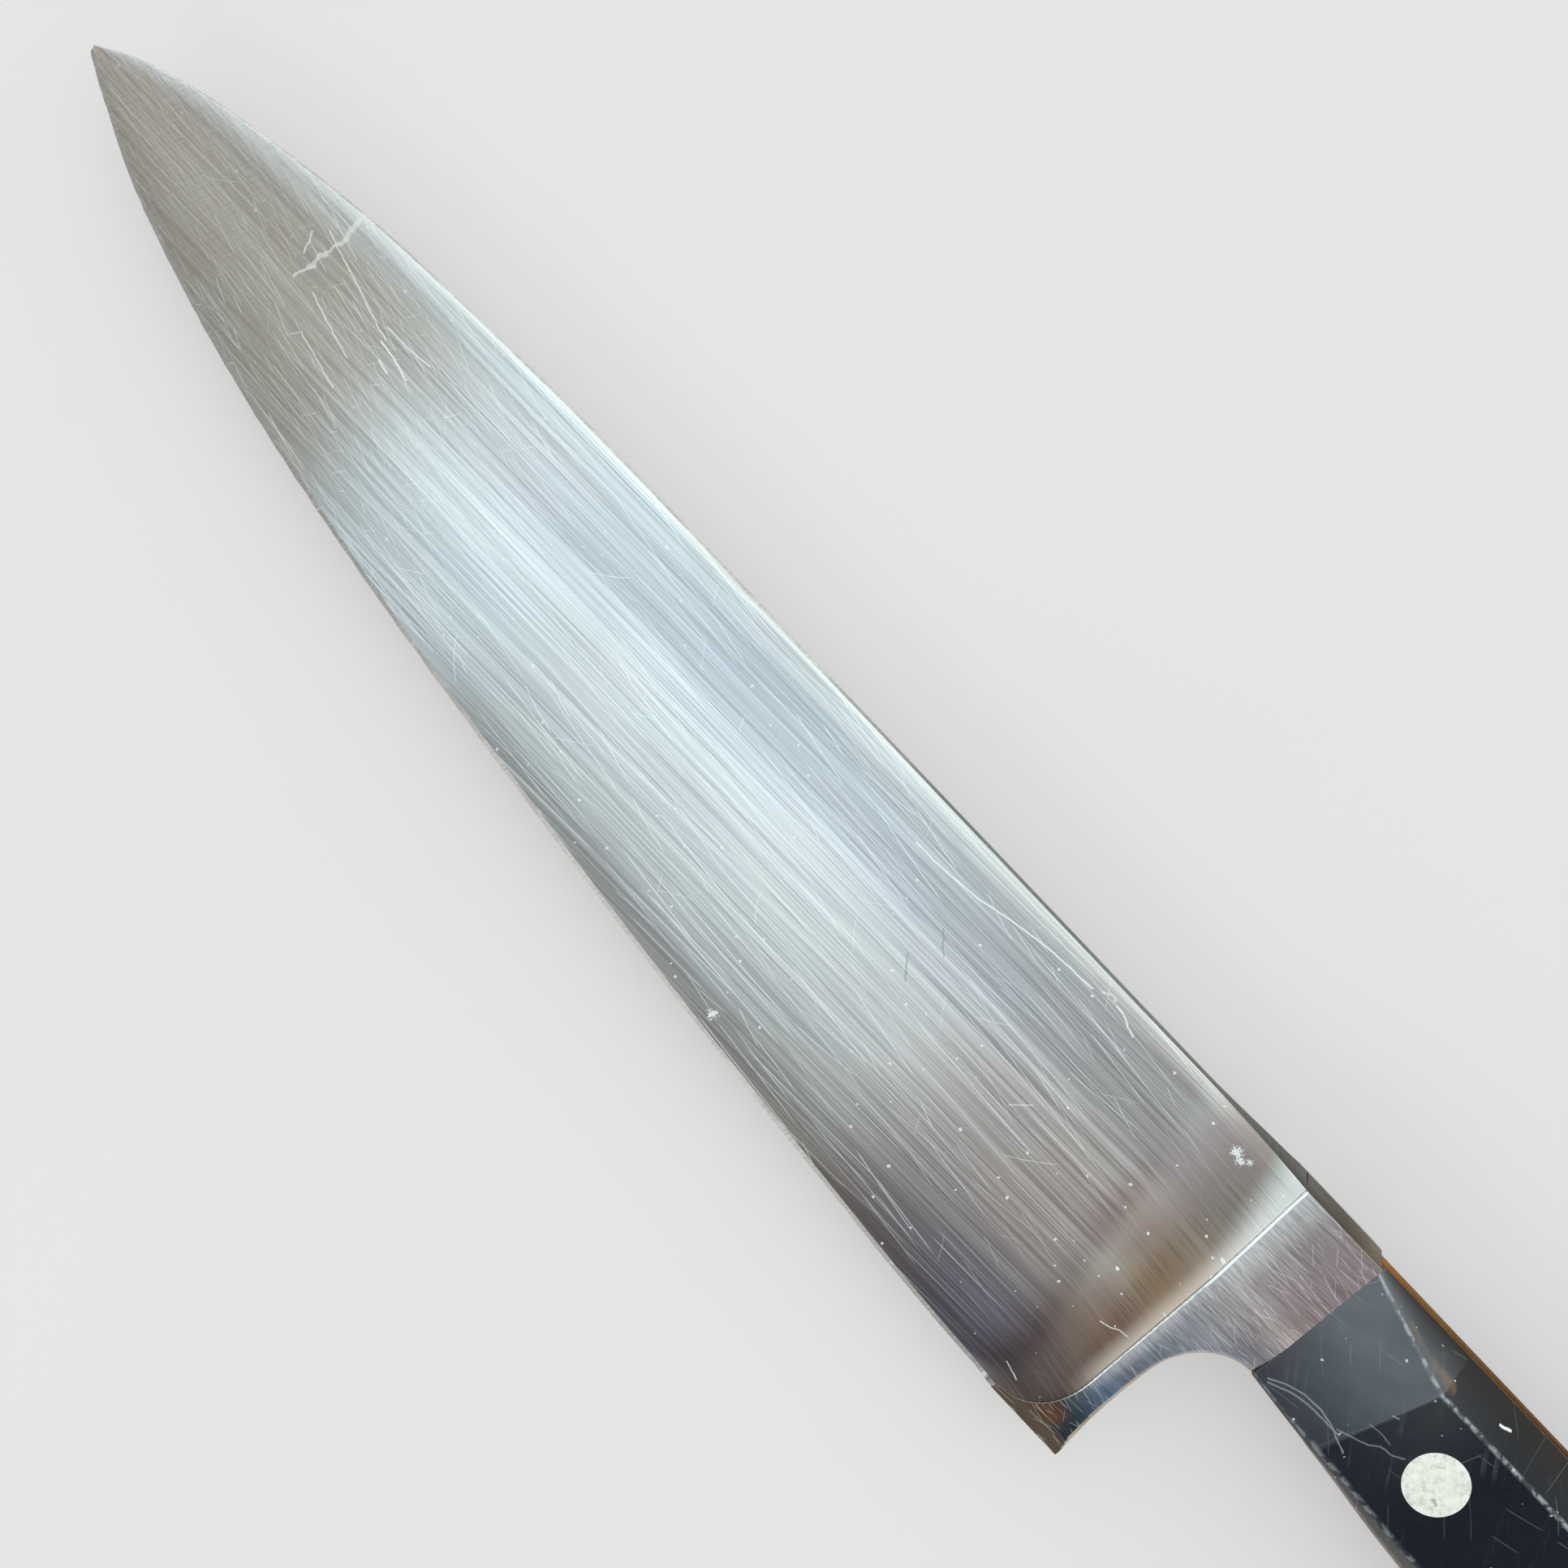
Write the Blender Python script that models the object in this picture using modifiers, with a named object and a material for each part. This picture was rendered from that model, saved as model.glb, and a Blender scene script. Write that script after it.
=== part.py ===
"""Forged chef knife with a full bolster, a full tang and two riveted handle scales.

The knife lies on its right side. X runs from the tip to the butt, Y from the cutting edge to the
spine, and Z up through the thickness. Metres. Every piece is drawn from the knife's own datum,
where the tip's upright tangent, the spine line and the mid-plane of the steel meet. An empty
carries that datum to its place, so that the origin is under the middle of the whole knife.
"""

import math

import bmesh
import bpy
import numpy as np

# Blade
BLADE_LENGTH = 0.200  # tip to the back of the heel
HEEL_HEIGHT = 0.0445  # spine to the underside of the heel
TIP_DROP = 0.0120  # the tip's distance below the spine line
TIP_RADIUS = 0.0005
SPINE_THICKNESS = 0.0034  # just in front of the bolster
TIP_THICKNESS = 0.0010
EDGE_THICKNESS = 0.0004
SPINE_CROWN = 0.0002

# Bolster
BOLSTER_THICKNESS = 0.0104  # beside the handle
HEEL_THICKNESS = 0.0018  # at the heel, where the bolster runs out
BOLSTER_CROWN = 0.0007
BOLSTER_WIDTH = 0.0120  # ridge to handle, along the spine
BOLSTER_OVERHANG = 0.0060  # the handle seam's place behind the heel
BOLSTER_DEPTH = 0.0192  # the seam's length, spine to finger notch
TAPER_START = 0.75  # share of the seam above the bolster's taper
RIDGE_LEAN = 0.0018  # the ridge's set-back at its lower end
RIDGE_FOOT = 0.80  # share of the height above the ridge's foot
RIDGE_HOOK = 0.0068  # how far the ridge's foot curls forward
FILLET_AT_SPINE = 0.0170
FILLET_AT_HEEL = 0.0070
NOTCH_REACH = 0.0072  # the finger notch's curve, along the knife
NOTCH_HEIGHT = 0.0090  # and across it
SEAM_SHARE, NOTCH_SHARE = 0.40, 0.30  # of the height, beside the seam and round the notch
HEEL_EASE = 0.0006  # the back runs out this far above the heel's underside

# Handle
HANDLE_LENGTH = 0.1280  # seam to butt
HANDLE_THICKNESS = 0.0170
FRONT_RAMP = 0.0136  # length over which the scales swell from the bolster to full thickness
RAMP_SLANT = 0.0040  # the ramp's lower end reaches full thickness this much sooner
BELLY_DEPTH = 0.0256
WAIST_DEPTH = 0.0238
BUTT_DEPTH = 0.0292
BUTT_DROP = 0.0030  # the top line's fall towards the butt
BUTT_CORNER = 0.0075
TANG_THICKNESS = 0.0034
TANG_ROOT = 0.0020  # the tang blank starts this far inside the bolster
TANG_ROOT_TOP = 0.0008  # and is this much shallower there, at its top
TANG_ROOT_BOTTOM = 0.0012  # and at its bottom
TOP_CHAMFER = 0.0042
LOWER_CHAMFER = 0.0036
CHAMFER_LAND = 0.0006  # the scales' square edge beside the tang

# Rivets
RIVET_HEAD = 0.0079
RIVET_HEAD_HEIGHT = 0.0016
RIVET_SLEEVE = 0.0050
RIVET_PIN = 0.0028
RIVET_RECESS = 0.00005  # the heads are ground just under the scales' faces
FRONT_RIVET = 0.0208  # behind the seam
RIVET_PITCH = 0.0375
RIVET_SET_DOWN = 0.0117  # the front rivet's centre below the spine line
RIVET_NAMES = ("front", "middle", "rear")

CLEARANCE = 0.0003  # between two pieces that touch

# Dependent sizes
SEAM = BLADE_LENGTH + BOLSTER_OVERHANG
TOTAL_LENGTH = SEAM + HANDLE_LENGTH
RIDGE = SEAM - BOLSTER_WIDTH
HALF_HANDLE = HANDLE_THICKNESS / 2
HALF_TANG = TANG_THICKNESS / 2
SCALE_BACK = HALF_TANG + CLEARANCE
SCALE_FRONT = SEAM + CLEARANCE
TURNING_STEPS = 32

# Material: base colour, roughness, metallic
STEEL = ("ground_steel", (0.56, 0.54, 0.52), 0.28, 1.0)
PLASTIC = ("black_acetal", (0.016, 0.018, 0.022), 0.38, 0.0)
RIVET_METAL = ("pale_rivet_metal", (0.78, 0.77, 0.73), 0.42, 1.0)


def clear_scene():
    for obj in list(bpy.data.objects):
        bpy.data.objects.remove(obj, do_unlink=True)


def new_collection(name):
    collection = bpy.data.collections.new(name)
    bpy.context.scene.collection.children.link(collection)
    return collection


def new_material(name, colour, roughness, metallic):
    material = bpy.data.materials.new(name)
    material.use_nodes = True
    shader = material.node_tree.nodes["Principled BSDF"]
    shader.inputs["Base Color"].default_value = (*colour, 1.0)
    shader.inputs["Roughness"].default_value = roughness
    shader.inputs["Metallic"].default_value = metallic
    return material


def curve_through(knots):
    """A function of x: one smooth curve through the (x, y) knots that never swings past them."""
    xs, ys = (np.array(values) for values in zip(*knots))
    spans = np.diff(xs)
    steps = np.diff(ys) / spans
    slopes = [steps[0]]
    for k in range(1, len(steps)):
        before, after = steps[k - 1], steps[k]
        turning = before * after <= 0
        weights = 2 * spans[k] + spans[k - 1], spans[k] + 2 * spans[k - 1]
        slopes.append(0.0 if turning else sum(weights) / (weights[0] / before + weights[1] / after))
    slopes.append(steps[-1])

    def value(x):
        i = int(np.clip(np.searchsorted(xs, x) - 1, 0, len(xs) - 2))
        t = float(np.clip((x - xs[i]) / spans[i], 0, 1))
        start = (1 + 2 * t) * (1 - t) ** 2 * ys[i] + t * (1 - t) ** 2 * spans[i] * slopes[i]
        end = t * t * (3 - 2 * t) * ys[i + 1] + t * t * (t - 1) * spans[i] * slopes[i + 1]
        return float(start + end)

    return value


def blend(start, end, t):
    return start + (end - start) * t


def smooth_step(t):
    t = min(max(t, 0.0), 1.0)
    return t * t * (3 - 2 * t)


# ---- outlines -------------------------------------------------------------------------------

# The spine falls to the tip and the edge rises to it, as shares of the length and the height.
spine_line = curve_through(
    [
        (0.0, TIP_RADIUS - TIP_DROP),
        (0.026 * BLADE_LENGTH, -0.74 * TIP_DROP),
        (0.098 * BLADE_LENGTH, -0.41 * TIP_DROP),
        (0.23 * BLADE_LENGTH, -0.12 * TIP_DROP),
        (0.42 * BLADE_LENGTH, 0.0),
        (TOTAL_LENGTH, 0.0),
    ]
)
EDGE_RISE = HEEL_HEIGHT - TIP_DROP
edge_line = curve_through(
    [
        (0.0, -TIP_DROP - TIP_RADIUS),
        (0.02 * BLADE_LENGTH, -TIP_DROP - 0.085 * EDGE_RISE),
        (0.084 * BLADE_LENGTH, -TIP_DROP - 0.27 * EDGE_RISE),
        (0.24 * BLADE_LENGTH, -TIP_DROP - 0.53 * EDGE_RISE),
        (0.46 * BLADE_LENGTH, -TIP_DROP - 0.735 * EDGE_RISE),
        (0.75 * BLADE_LENGTH, -TIP_DROP - 0.92 * EDGE_RISE),
        (0.95 * BLADE_LENGTH, -TIP_DROP - 0.995 * EDGE_RISE),
        (BLADE_LENGTH, -HEEL_HEIGHT + 0.0003),
    ]
)
handle_top = curve_through(
    [
        (SEAM - 0.004, 0.0),
        (SEAM + 0.58 * HANDLE_LENGTH, 0.0),
        (SEAM + 0.84 * HANDLE_LENGTH, -0.35 * BUTT_DROP),
        (TOTAL_LENGTH, -BUTT_DROP),
    ]
)
handle_bottom = curve_through(
    [
        (SEAM - 0.004, -BOLSTER_DEPTH),
        (SEAM + 0.09 * HANDLE_LENGTH, -BOLSTER_DEPTH - 0.0004),
        (SEAM + 0.22 * HANDLE_LENGTH, blend(-BOLSTER_DEPTH, -BELLY_DEPTH, 0.48)),
        (SEAM + 0.42 * HANDLE_LENGTH, -BELLY_DEPTH),
        (SEAM + 0.70 * HANDLE_LENGTH, -WAIST_DEPTH),
        (SEAM + 0.94 * HANDLE_LENGTH, -BUTT_DEPTH),
        (TOTAL_LENGTH, -BUTT_DEPTH),
    ]
)


def butt_inset(x):
    """How far the top and bottom lines pull in at x to round the butt's corners."""
    past = x - (TOTAL_LENGTH - BUTT_CORNER)
    if past <= 0:
        return 0.0
    return BUTT_CORNER - math.sqrt(max(BUTT_CORNER**2 - past**2, 0.0))


def handle_edges(x):
    """The handle outline's top and bottom y at x."""
    inset = butt_inset(x)
    return handle_top(x) - 0.8 * inset, handle_bottom(x) + inset


def handle_places():
    """Places along the handle, closer together over the front ramp and the rounded butt."""
    ramp_end = SEAM + FRONT_RAMP
    corner = TOTAL_LENGTH - BUTT_CORNER
    front = np.linspace(SCALE_FRONT, ramp_end, 6)
    middle = np.linspace(ramp_end, corner, 20)[1:-1]
    butt = [corner + BUTT_CORNER * math.sin(a) for a in np.linspace(0, math.radians(82), 9)]
    return [*front, *middle, *butt]


# ---- forging --------------------------------------------------------------------------------


def ridge_place(t):
    """The ridge's x where t of the height is above: it leans back, then its foot curls forward."""
    if t <= RIDGE_FOOT:
        return RIDGE + RIDGE_LEAN * t / RIDGE_FOOT
    turn = (t - RIDGE_FOOT) / (1 - RIDGE_FOOT)
    return RIDGE + RIDGE_LEAN - RIDGE_HOOK * (1 - math.sqrt(max(1 - turn**2.4, 0.0)))


def back_point(t):
    """A point on the bolster's back: down the seam, round the finger notch and down to the heel."""
    heel_y = -HEEL_HEIGHT + HEEL_EASE
    notch_x = SEAM - NOTCH_REACH
    notch_y = -BOLSTER_DEPTH - NOTCH_HEIGHT
    if t <= SEAM_SHARE:
        return SEAM, -BOLSTER_DEPTH * t / SEAM_SHARE
    if t <= SEAM_SHARE + NOTCH_SHARE:
        angle = math.radians(90) * (t - SEAM_SHARE) / NOTCH_SHARE
        return SEAM - NOTCH_REACH * math.sin(angle), notch_y + NOTCH_HEIGHT * math.cos(angle)
    down = (t - SEAM_SHARE - NOTCH_SHARE) / (1 - SEAM_SHARE - NOTCH_SHARE)
    return notch_x + (BLADE_LENGTH - notch_x) * down**2, blend(notch_y, heel_y, down)


def ridge_half(y):
    """Half the bolster's thickness: even beside the handle, then thinner towards the heel."""
    start = TAPER_START * BOLSTER_DEPTH
    down = min(max((-y - start) / (HEEL_HEIGHT - start), 0.0), 1.0)
    return blend(BOLSTER_THICKNESS, HEEL_THICKNESS, down**1.1) / 2


def blade_half(x, y):
    """Half the ground blade's thickness: it tapers to the tip and, flat, to the edge."""
    spine, edge = spine_line(x), edge_line(min(x, BLADE_LENGTH))
    along = min(x / RIDGE, 1.0)
    at_spine = blend(TIP_THICKNESS, SPINE_THICKNESS, along**0.85)
    up = min(max((y - edge) / (spine - edge), 0.0), 1.0)
    return blend(EDGE_THICKNESS, at_spine, up) / 2


def steel_half(x, y, ridge_x):
    """Half the forging's thickness in front of the ridge, with the hollow fillet up to it."""
    thin = blade_half(x, y)
    down = min(max(-y / HEEL_HEIGHT, 0.0), 1.0)
    reach = blend(FILLET_AT_SPINE, FILLET_AT_HEEL, down)
    near = 1 - min(max((ridge_x - x) / reach, 0.0), 1.0)
    return thin + max(ridge_half(y) - thin, 0.0) * near**2.2


def blade_column(x, heights):
    """One upright column of the blade: (x, y, half thickness) from spine to edge."""
    spine, edge = spine_line(x), edge_line(x)
    ys = [blend(spine, edge, t) for t in heights]
    return [(x, y, blade_half(x, y)) for y in ys]


def fillet_column(share, start, heights):
    """A column between the last upright one (share 0) and the ridge (share 1)."""
    column = []
    for t in heights:
        ridge_x = ridge_place(t)
        x = blend(start, ridge_x, share)
        y = blend(spine_line(x), edge_line(x), t)
        column.append((x, y, steel_half(x, y, ridge_x)))
    return column


def bolster_column(share, heights):
    """A column of the bolster's side between the ridge (share 0) and its back (share 1)."""
    column = []
    for t in heights:
        ridge_x = ridge_place(t)
        ridge_y = blend(spine_line(ridge_x), edge_line(ridge_x), t)
        back_x, back_y = back_point(t)
        y = blend(ridge_y, back_y, share)
        column.append((blend(ridge_x, back_x, share), y, ridge_half(y)))
    return column


def blade_columns():
    """Every column of the forging's side, tip to bolster back."""
    heights = [blend(k / 16, math.sin(math.radians(90) * k / 16), 0.35) for k in range(17)]
    last = RIDGE - FILLET_AT_SPINE - 0.002
    upright = [last * (k / 22) ** 1.5 for k in range(22)]
    columns = [blade_column(x, heights) for x in upright]
    columns += [fillet_column(k / 12, last, heights) for k in range(12)]
    return columns + [bolster_column(k / 5, heights) for k in range(6)]


def crown_at(x):
    """How far the middle of the spine stands above its corners."""
    return blend(SPINE_CROWN, BOLSTER_CROWN, smooth_step((x - RIDGE + FILLET_AT_SPINE) / FILLET_AT_SPINE))


def side_solid(name, columns, crown):
    """The closed body between a surface of (x, y, half) columns and its mirror image below."""
    mesh = bmesh.new()
    near = [[mesh.verts.new((x, y, half)) for x, y, half in column] for column in columns]
    far = [[mesh.verts.new((x, y, -half)) for x, y, half in column] for column in columns]
    top = [mesh.verts.new((c[0][0], c[0][1] + crown(c[0][0]), 0.0)) for c in columns]
    rows = len(columns[0])
    for i in range(len(columns) - 1):
        for j in range(rows - 1):
            mesh.faces.new((near[i][j], near[i][j + 1], near[i + 1][j + 1], near[i + 1][j]))
            mesh.faces.new((far[i][j], far[i + 1][j], far[i + 1][j + 1], far[i][j + 1]))
        mesh.faces.new((near[i][0], near[i + 1][0], top[i + 1], top[i]))
        mesh.faces.new((top[i], top[i + 1], far[i + 1][0], far[i][0]))
        mesh.faces.new((near[i][-1], far[i][-1], far[i + 1][-1], near[i + 1][-1]))
    for i in (0, -1):
        mesh.faces.new((near[i][0], top[i], far[i][0]))
        for j in range(rows - 1):
            mesh.faces.new((near[i][j], far[i][j], far[i][j + 1], near[i][j + 1]))
    bmesh.ops.recalc_face_normals(mesh, faces=mesh.faces)
    data = bpy.data.meshes.new(name)
    mesh.to_mesh(data)
    mesh.free()
    data.shade_smooth()
    data.set_sharp_from_angle(angle=math.radians(25))
    return bpy.data.objects.new(name, data)


def tang_outline():
    """The tang's outline: it starts inside the bolster and then follows the handle."""
    inside = SEAM - TANG_ROOT
    root_bottom = -BOLSTER_DEPTH + TANG_ROOT_BOTTOM
    places = [x for x in handle_places() if x > SEAM + CLEARANCE]
    upper = [(inside, -TANG_ROOT_TOP), (SEAM, -TANG_ROOT_TOP), (SEAM, 0.0)]
    upper += [(x, handle_edges(x)[0]) for x in places]
    lower = [(x, handle_edges(x)[1]) for x in reversed(places)]
    lower += [(SEAM, -BOLSTER_DEPTH), (SEAM, root_bottom), (inside, root_bottom)]
    return upper + lower


def flat_plate(name, outline, half_thickness, collection):
    """A mesh plate: a filled 2D curve, extruded both ways from the mid-plane."""
    curve = bpy.data.curves.new(name + "_curve", "CURVE")
    curve.dimensions = "2D"
    curve.fill_mode = "BOTH"
    curve.extrude = half_thickness
    spline = curve.splines.new("POLY")
    spline.points.add(len(outline) - 1)
    for point, (x, y) in zip(spline.points, outline):
        point.co = (x, y, 0.0, 1.0)
    spline.use_cyclic_u = True
    source = bpy.data.objects.new(name + "_curve", curve)
    collection.objects.link(source)
    bpy.context.view_layer.update()
    evaluated = source.evaluated_get(bpy.context.evaluated_depsgraph_get())
    plate = bpy.data.objects.new(name, bpy.data.meshes.new_from_object(evaluated))
    plate.matrix_world = source.matrix_world
    bpy.data.objects.remove(source, do_unlink=True)
    mesh = bmesh.new()
    mesh.from_mesh(plate.data)
    bmesh.ops.remove_doubles(mesh, verts=mesh.verts, dist=1e-6)
    bmesh.ops.recalc_face_normals(mesh, faces=mesh.faces)
    mesh.to_mesh(plate.data)
    mesh.free()
    collection.objects.link(plate)
    return plate


# ---- handle scales --------------------------------------------------------------------------


def swell(x, slant):
    """Half the handle's thickness at x, up the front ramp to the full thickness."""
    risen = (x - SEAM) / (FRONT_RAMP - slant)
    return blend(BOLSTER_THICKNESS / 2, HALF_HANDLE, min(max(risen, 0.0), 1.0))


def chamfer_share(x):
    """How much of the top chamfer there is: none at the bolster, all of it past the ramp."""
    return min(max((x - SEAM) / FRONT_RAMP, 0.0), 1.0)


def lower_chamfer_share(x):
    start = SEAM + FRONT_RAMP
    return smooth_step((x - start) / (0.35 * HANDLE_LENGTH))


def scale_section(x):
    """A scale's section at x as (y, z) points, from the top of its flat back and round."""
    top, bottom = handle_edges(x)
    chamfer = blend(CHAMFER_LAND, TOP_CHAMFER, chamfer_share(x))
    lower = blend(CHAMFER_LAND, LOWER_CHAMFER, lower_chamfer_share(x))
    high, low = swell(x, 0.0), swell(x, RAMP_SLANT)
    land = SCALE_BACK + CHAMFER_LAND
    return [
        (top, SCALE_BACK),
        (top, land),
        (top - chamfer, high),
        (bottom + lower, low),
        (bottom, blend(low - CHAMFER_LAND, land + CHAMFER_LAND, lower_chamfer_share(x))),
        (bottom, SCALE_BACK),
    ]


def loft(name, sections):
    """The closed body through rings of the same number of points, with flat ends."""
    mesh = bmesh.new()
    rings = [[mesh.verts.new(point) for point in ring] for ring in sections]
    count = len(sections[0])
    for first, second in zip(rings, rings[1:]):
        for k in range(count):
            after = (k + 1) % count
            mesh.faces.new((first[k], first[after], second[after], second[k]))
    mesh.faces.new(reversed(rings[0]))
    mesh.faces.new(rings[-1])
    bmesh.ops.recalc_face_normals(mesh, faces=mesh.faces)
    data = bpy.data.meshes.new(name)
    mesh.to_mesh(data)
    mesh.free()
    return bpy.data.objects.new(name, data)


def make_scale(name, side):
    """A handle scale: side is 1 for the left one, which faces up, and -1 for the right one."""
    sections = [[(x, y, side * z) for y, z in scale_section(x)] for x in handle_places()]
    return loft(name, sections)


# ---- rivets ---------------------------------------------------------------------------------


def rivet_places():
    """Each rivet's centre, in the middle of the scale's flat."""
    places = []
    for k in range(len(RIVET_NAMES)):
        x = SEAM + FRONT_RIVET + k * RIVET_PITCH
        top, bottom = handle_edges(x)
        first_top, first_bottom = handle_edges(SEAM + FRONT_RIVET)
        shift = (top + bottom - first_top - first_bottom) / 2
        places.append((x, -RIVET_SET_DOWN + shift))
    return places


def turned(name, profile):
    """A round piece: the (radius, z) profile turned about Z."""
    data = bpy.data.meshes.new(name)
    count = len(profile)
    data.from_pydata([(r, 0.0, z) for r, z in profile], [(k, k + 1) for k in range(count - 1)], [])
    piece = bpy.data.objects.new(name, data)
    screw = piece.modifiers.new("turn", "SCREW")
    screw.steps = TURNING_STEPS
    screw.render_steps = TURNING_STEPS
    screw.use_merge_vertices = True
    screw.merge_threshold = 0.00001
    screw.use_smooth_shade = True
    return piece


def solid_half_profile():
    """The upper half: a flat head on a solid pin that reaches most of the way down the sleeve."""
    face = HALF_HANDLE - RIVET_RECESS
    under = face - RIVET_HEAD_HEIGHT
    pin_end = -HALF_HANDLE + RIVET_RECESS + RIVET_HEAD_HEIGHT + CLEARANCE
    return [
        (0.0, face),
        (RIVET_HEAD / 2, face),
        (RIVET_HEAD / 2, under),
        (RIVET_PIN / 2, under),
        (RIVET_PIN / 2, pin_end),
        (0.0, pin_end),
    ]


def hollow_half_profile():
    """The lower half: a flat head with the sleeve that the pin is driven into."""
    face = -HALF_HANDLE + RIVET_RECESS
    under = face + RIVET_HEAD_HEIGHT
    sleeve_end = HALF_HANDLE - RIVET_RECESS - RIVET_HEAD_HEIGHT - CLEARANCE
    bore = RIVET_PIN / 2 + CLEARANCE
    return [
        (0.0, under),
        (bore, under),
        (bore, sleeve_end),
        (RIVET_SLEEVE / 2, sleeve_end),
        (RIVET_SLEEVE / 2, under),
        (RIVET_HEAD / 2, under),
        (RIVET_HEAD / 2, face),
        (0.0, face),
    ]


def cylinder(name, radius, low, high, place):
    mesh = bmesh.new()
    bmesh.ops.create_cone(
        mesh,
        cap_ends=True,
        segments=TURNING_STEPS,
        radius1=radius,
        radius2=radius,
        depth=high - low,
    )
    data = bpy.data.meshes.new(name)
    mesh.to_mesh(data)
    mesh.free()
    piece = bpy.data.objects.new(name, data)
    piece.location = (*place, (low + high) / 2)
    return piece


# ---- assembly -------------------------------------------------------------------------------


def add_boolean(piece, other, operation):
    modifier = piece.modifiers.new(operation.lower() + "_" + other.name, "BOOLEAN")
    modifier.operation = operation
    modifier.solver = "EXACT"
    modifier.object = other


def place_part(piece, material, collection, datum):
    collection.objects.link(piece)
    piece.data.materials.append(material)
    piece.parent = datum


def place_helper(piece, collection, datum):
    if piece.name not in collection.objects:
        collection.objects.link(piece)
    piece.parent = datum
    piece.hide_render = True
    piece.display_type = "WIRE"


def make_datum(collection):
    datum = bpy.data.objects.new("knife_datum", None)
    datum.location = (-TOTAL_LENGTH / 2, (HEEL_HEIGHT - BOLSTER_CROWN) / 2, HALF_HANDLE)
    collection.objects.link(datum)
    return datum


def cut_rivet_holes(forging, scales, cutters, datum):
    """Sleeve holes through the steel and the scales, and a seat for each head in its scale."""
    sleeve = RIVET_SLEEVE / 2 + CLEARANCE
    head = RIVET_HEAD / 2 + CLEARANCE
    seat = HALF_HANDLE - RIVET_RECESS - RIVET_HEAD_HEIGHT - CLEARANCE
    past = HALF_HANDLE + 0.002
    for name, place in zip(RIVET_NAMES, rivet_places()):
        bore = cylinder(name + "_sleeve_hole", sleeve, -past, past, place)
        place_helper(bore, cutters, datum)
        add_boolean(forging, bore, "DIFFERENCE")
        for side, scale in scales.items():
            low, high = sorted((side * seat, side * past))
            recess = cylinder(f"{name}_head_seat_{scale.name}", head, low, high, place)
            place_helper(recess, cutters, datum)
            add_boolean(scale, bore, "DIFFERENCE")
            add_boolean(scale, recess, "DIFFERENCE")


def main():
    clear_scene()
    parts = new_collection("chef_knife")
    cutters = new_collection("chef_knife_cutters")
    datum = make_datum(parts)
    steel, plastic, rivet_metal = (new_material(*m) for m in (STEEL, PLASTIC, RIVET_METAL))

    forging = side_solid("blade_forging", blade_columns(), crown_at)
    place_part(forging, steel, parts, datum)
    tang = flat_plate("tang_blank", tang_outline(), HALF_TANG, cutters)
    place_helper(tang, cutters, datum)
    add_boolean(forging, tang, "UNION")

    scales = {1: make_scale("handle_scale_left", 1), -1: make_scale("handle_scale_right", -1)}
    for scale in scales.values():
        place_part(scale, plastic, parts, datum)
    cut_rivet_holes(forging, scales, cutters, datum)

    for name, place in zip(RIVET_NAMES, rivet_places()):
        for half, profile in (("solid", solid_half_profile()), ("hollow", hollow_half_profile())):
            rivet = turned(f"{name}_rivet_{half}_half", profile)
            place_part(rivet, rivet_metal, parts, datum)
            rivet.location = (*place, 0.0)


main()
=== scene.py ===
import math

import bmesh
import bpy
import numpy as np
from mathutils import Matrix, Vector


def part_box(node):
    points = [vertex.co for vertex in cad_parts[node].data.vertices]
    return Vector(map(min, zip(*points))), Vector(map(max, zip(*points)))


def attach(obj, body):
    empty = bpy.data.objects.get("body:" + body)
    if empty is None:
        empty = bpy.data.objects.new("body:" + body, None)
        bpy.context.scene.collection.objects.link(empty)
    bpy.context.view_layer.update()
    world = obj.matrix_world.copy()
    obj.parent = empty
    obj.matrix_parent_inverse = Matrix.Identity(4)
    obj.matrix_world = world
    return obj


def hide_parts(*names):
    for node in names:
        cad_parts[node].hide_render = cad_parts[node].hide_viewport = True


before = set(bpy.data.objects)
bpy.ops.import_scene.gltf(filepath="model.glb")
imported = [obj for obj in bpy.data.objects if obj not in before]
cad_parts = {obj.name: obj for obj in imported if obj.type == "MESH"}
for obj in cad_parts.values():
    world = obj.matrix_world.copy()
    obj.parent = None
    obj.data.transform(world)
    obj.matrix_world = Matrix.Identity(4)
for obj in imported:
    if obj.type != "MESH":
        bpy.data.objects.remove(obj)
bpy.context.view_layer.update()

# The knife's own datum, as in the CAD: x from the tip, y from the spine line, z from the mid-plane.
FORGING_LOW, FORGING_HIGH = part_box("blade_forging")
SCALE_LOW, SCALE_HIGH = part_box("handle_scale_left")
BOLSTER_CROWN = 0.0007
CAD_GAP = 0.0003
DATUM = Vector((FORGING_LOW.x, FORGING_HIGH.y - BOLSTER_CROWN, (FORGING_LOW.z + FORGING_HIGH.z) / 2))

# Blade
BLADE_LENGTH = 0.200
HEEL_HEIGHT = 0.0445
TIP_DROP = 0.0120
TIP_RADIUS = 0.0005
SPINE_THICKNESS = 0.0034
TIP_THICKNESS = 0.0010
SPINE_CROWN = 0.0002
SHOULDER_THICKNESS = 0.00045  # where the ground side meets the sharpened bevel
EDGE_THICKNESS = 0.00006
BEVEL_HEIGHT = 0.0006
EDGE_WANDER = 0.00004
BEVEL_SHARE = 0.35  # the most of a short column that the bevel takes, near the tip
HEEL_LIFT = 0.0003  # the edge ends this far above the heel's underside
ROLL_WIDTH = 0.0014  # the side rounds over towards the spine
ROLL_DEPTH = 0.00020
ROLL_FROM = 0.06  # it is full from here back, and ROLL_AT_TIP of that at the tip
ROLL_AT_TIP = 0.3
EASED_EDGE = 0.00045
SPINE_EASE, LOWER_EASE, BACK_EASE = 0.9, 0.4, 0.7  # shares of it along each outline

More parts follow.
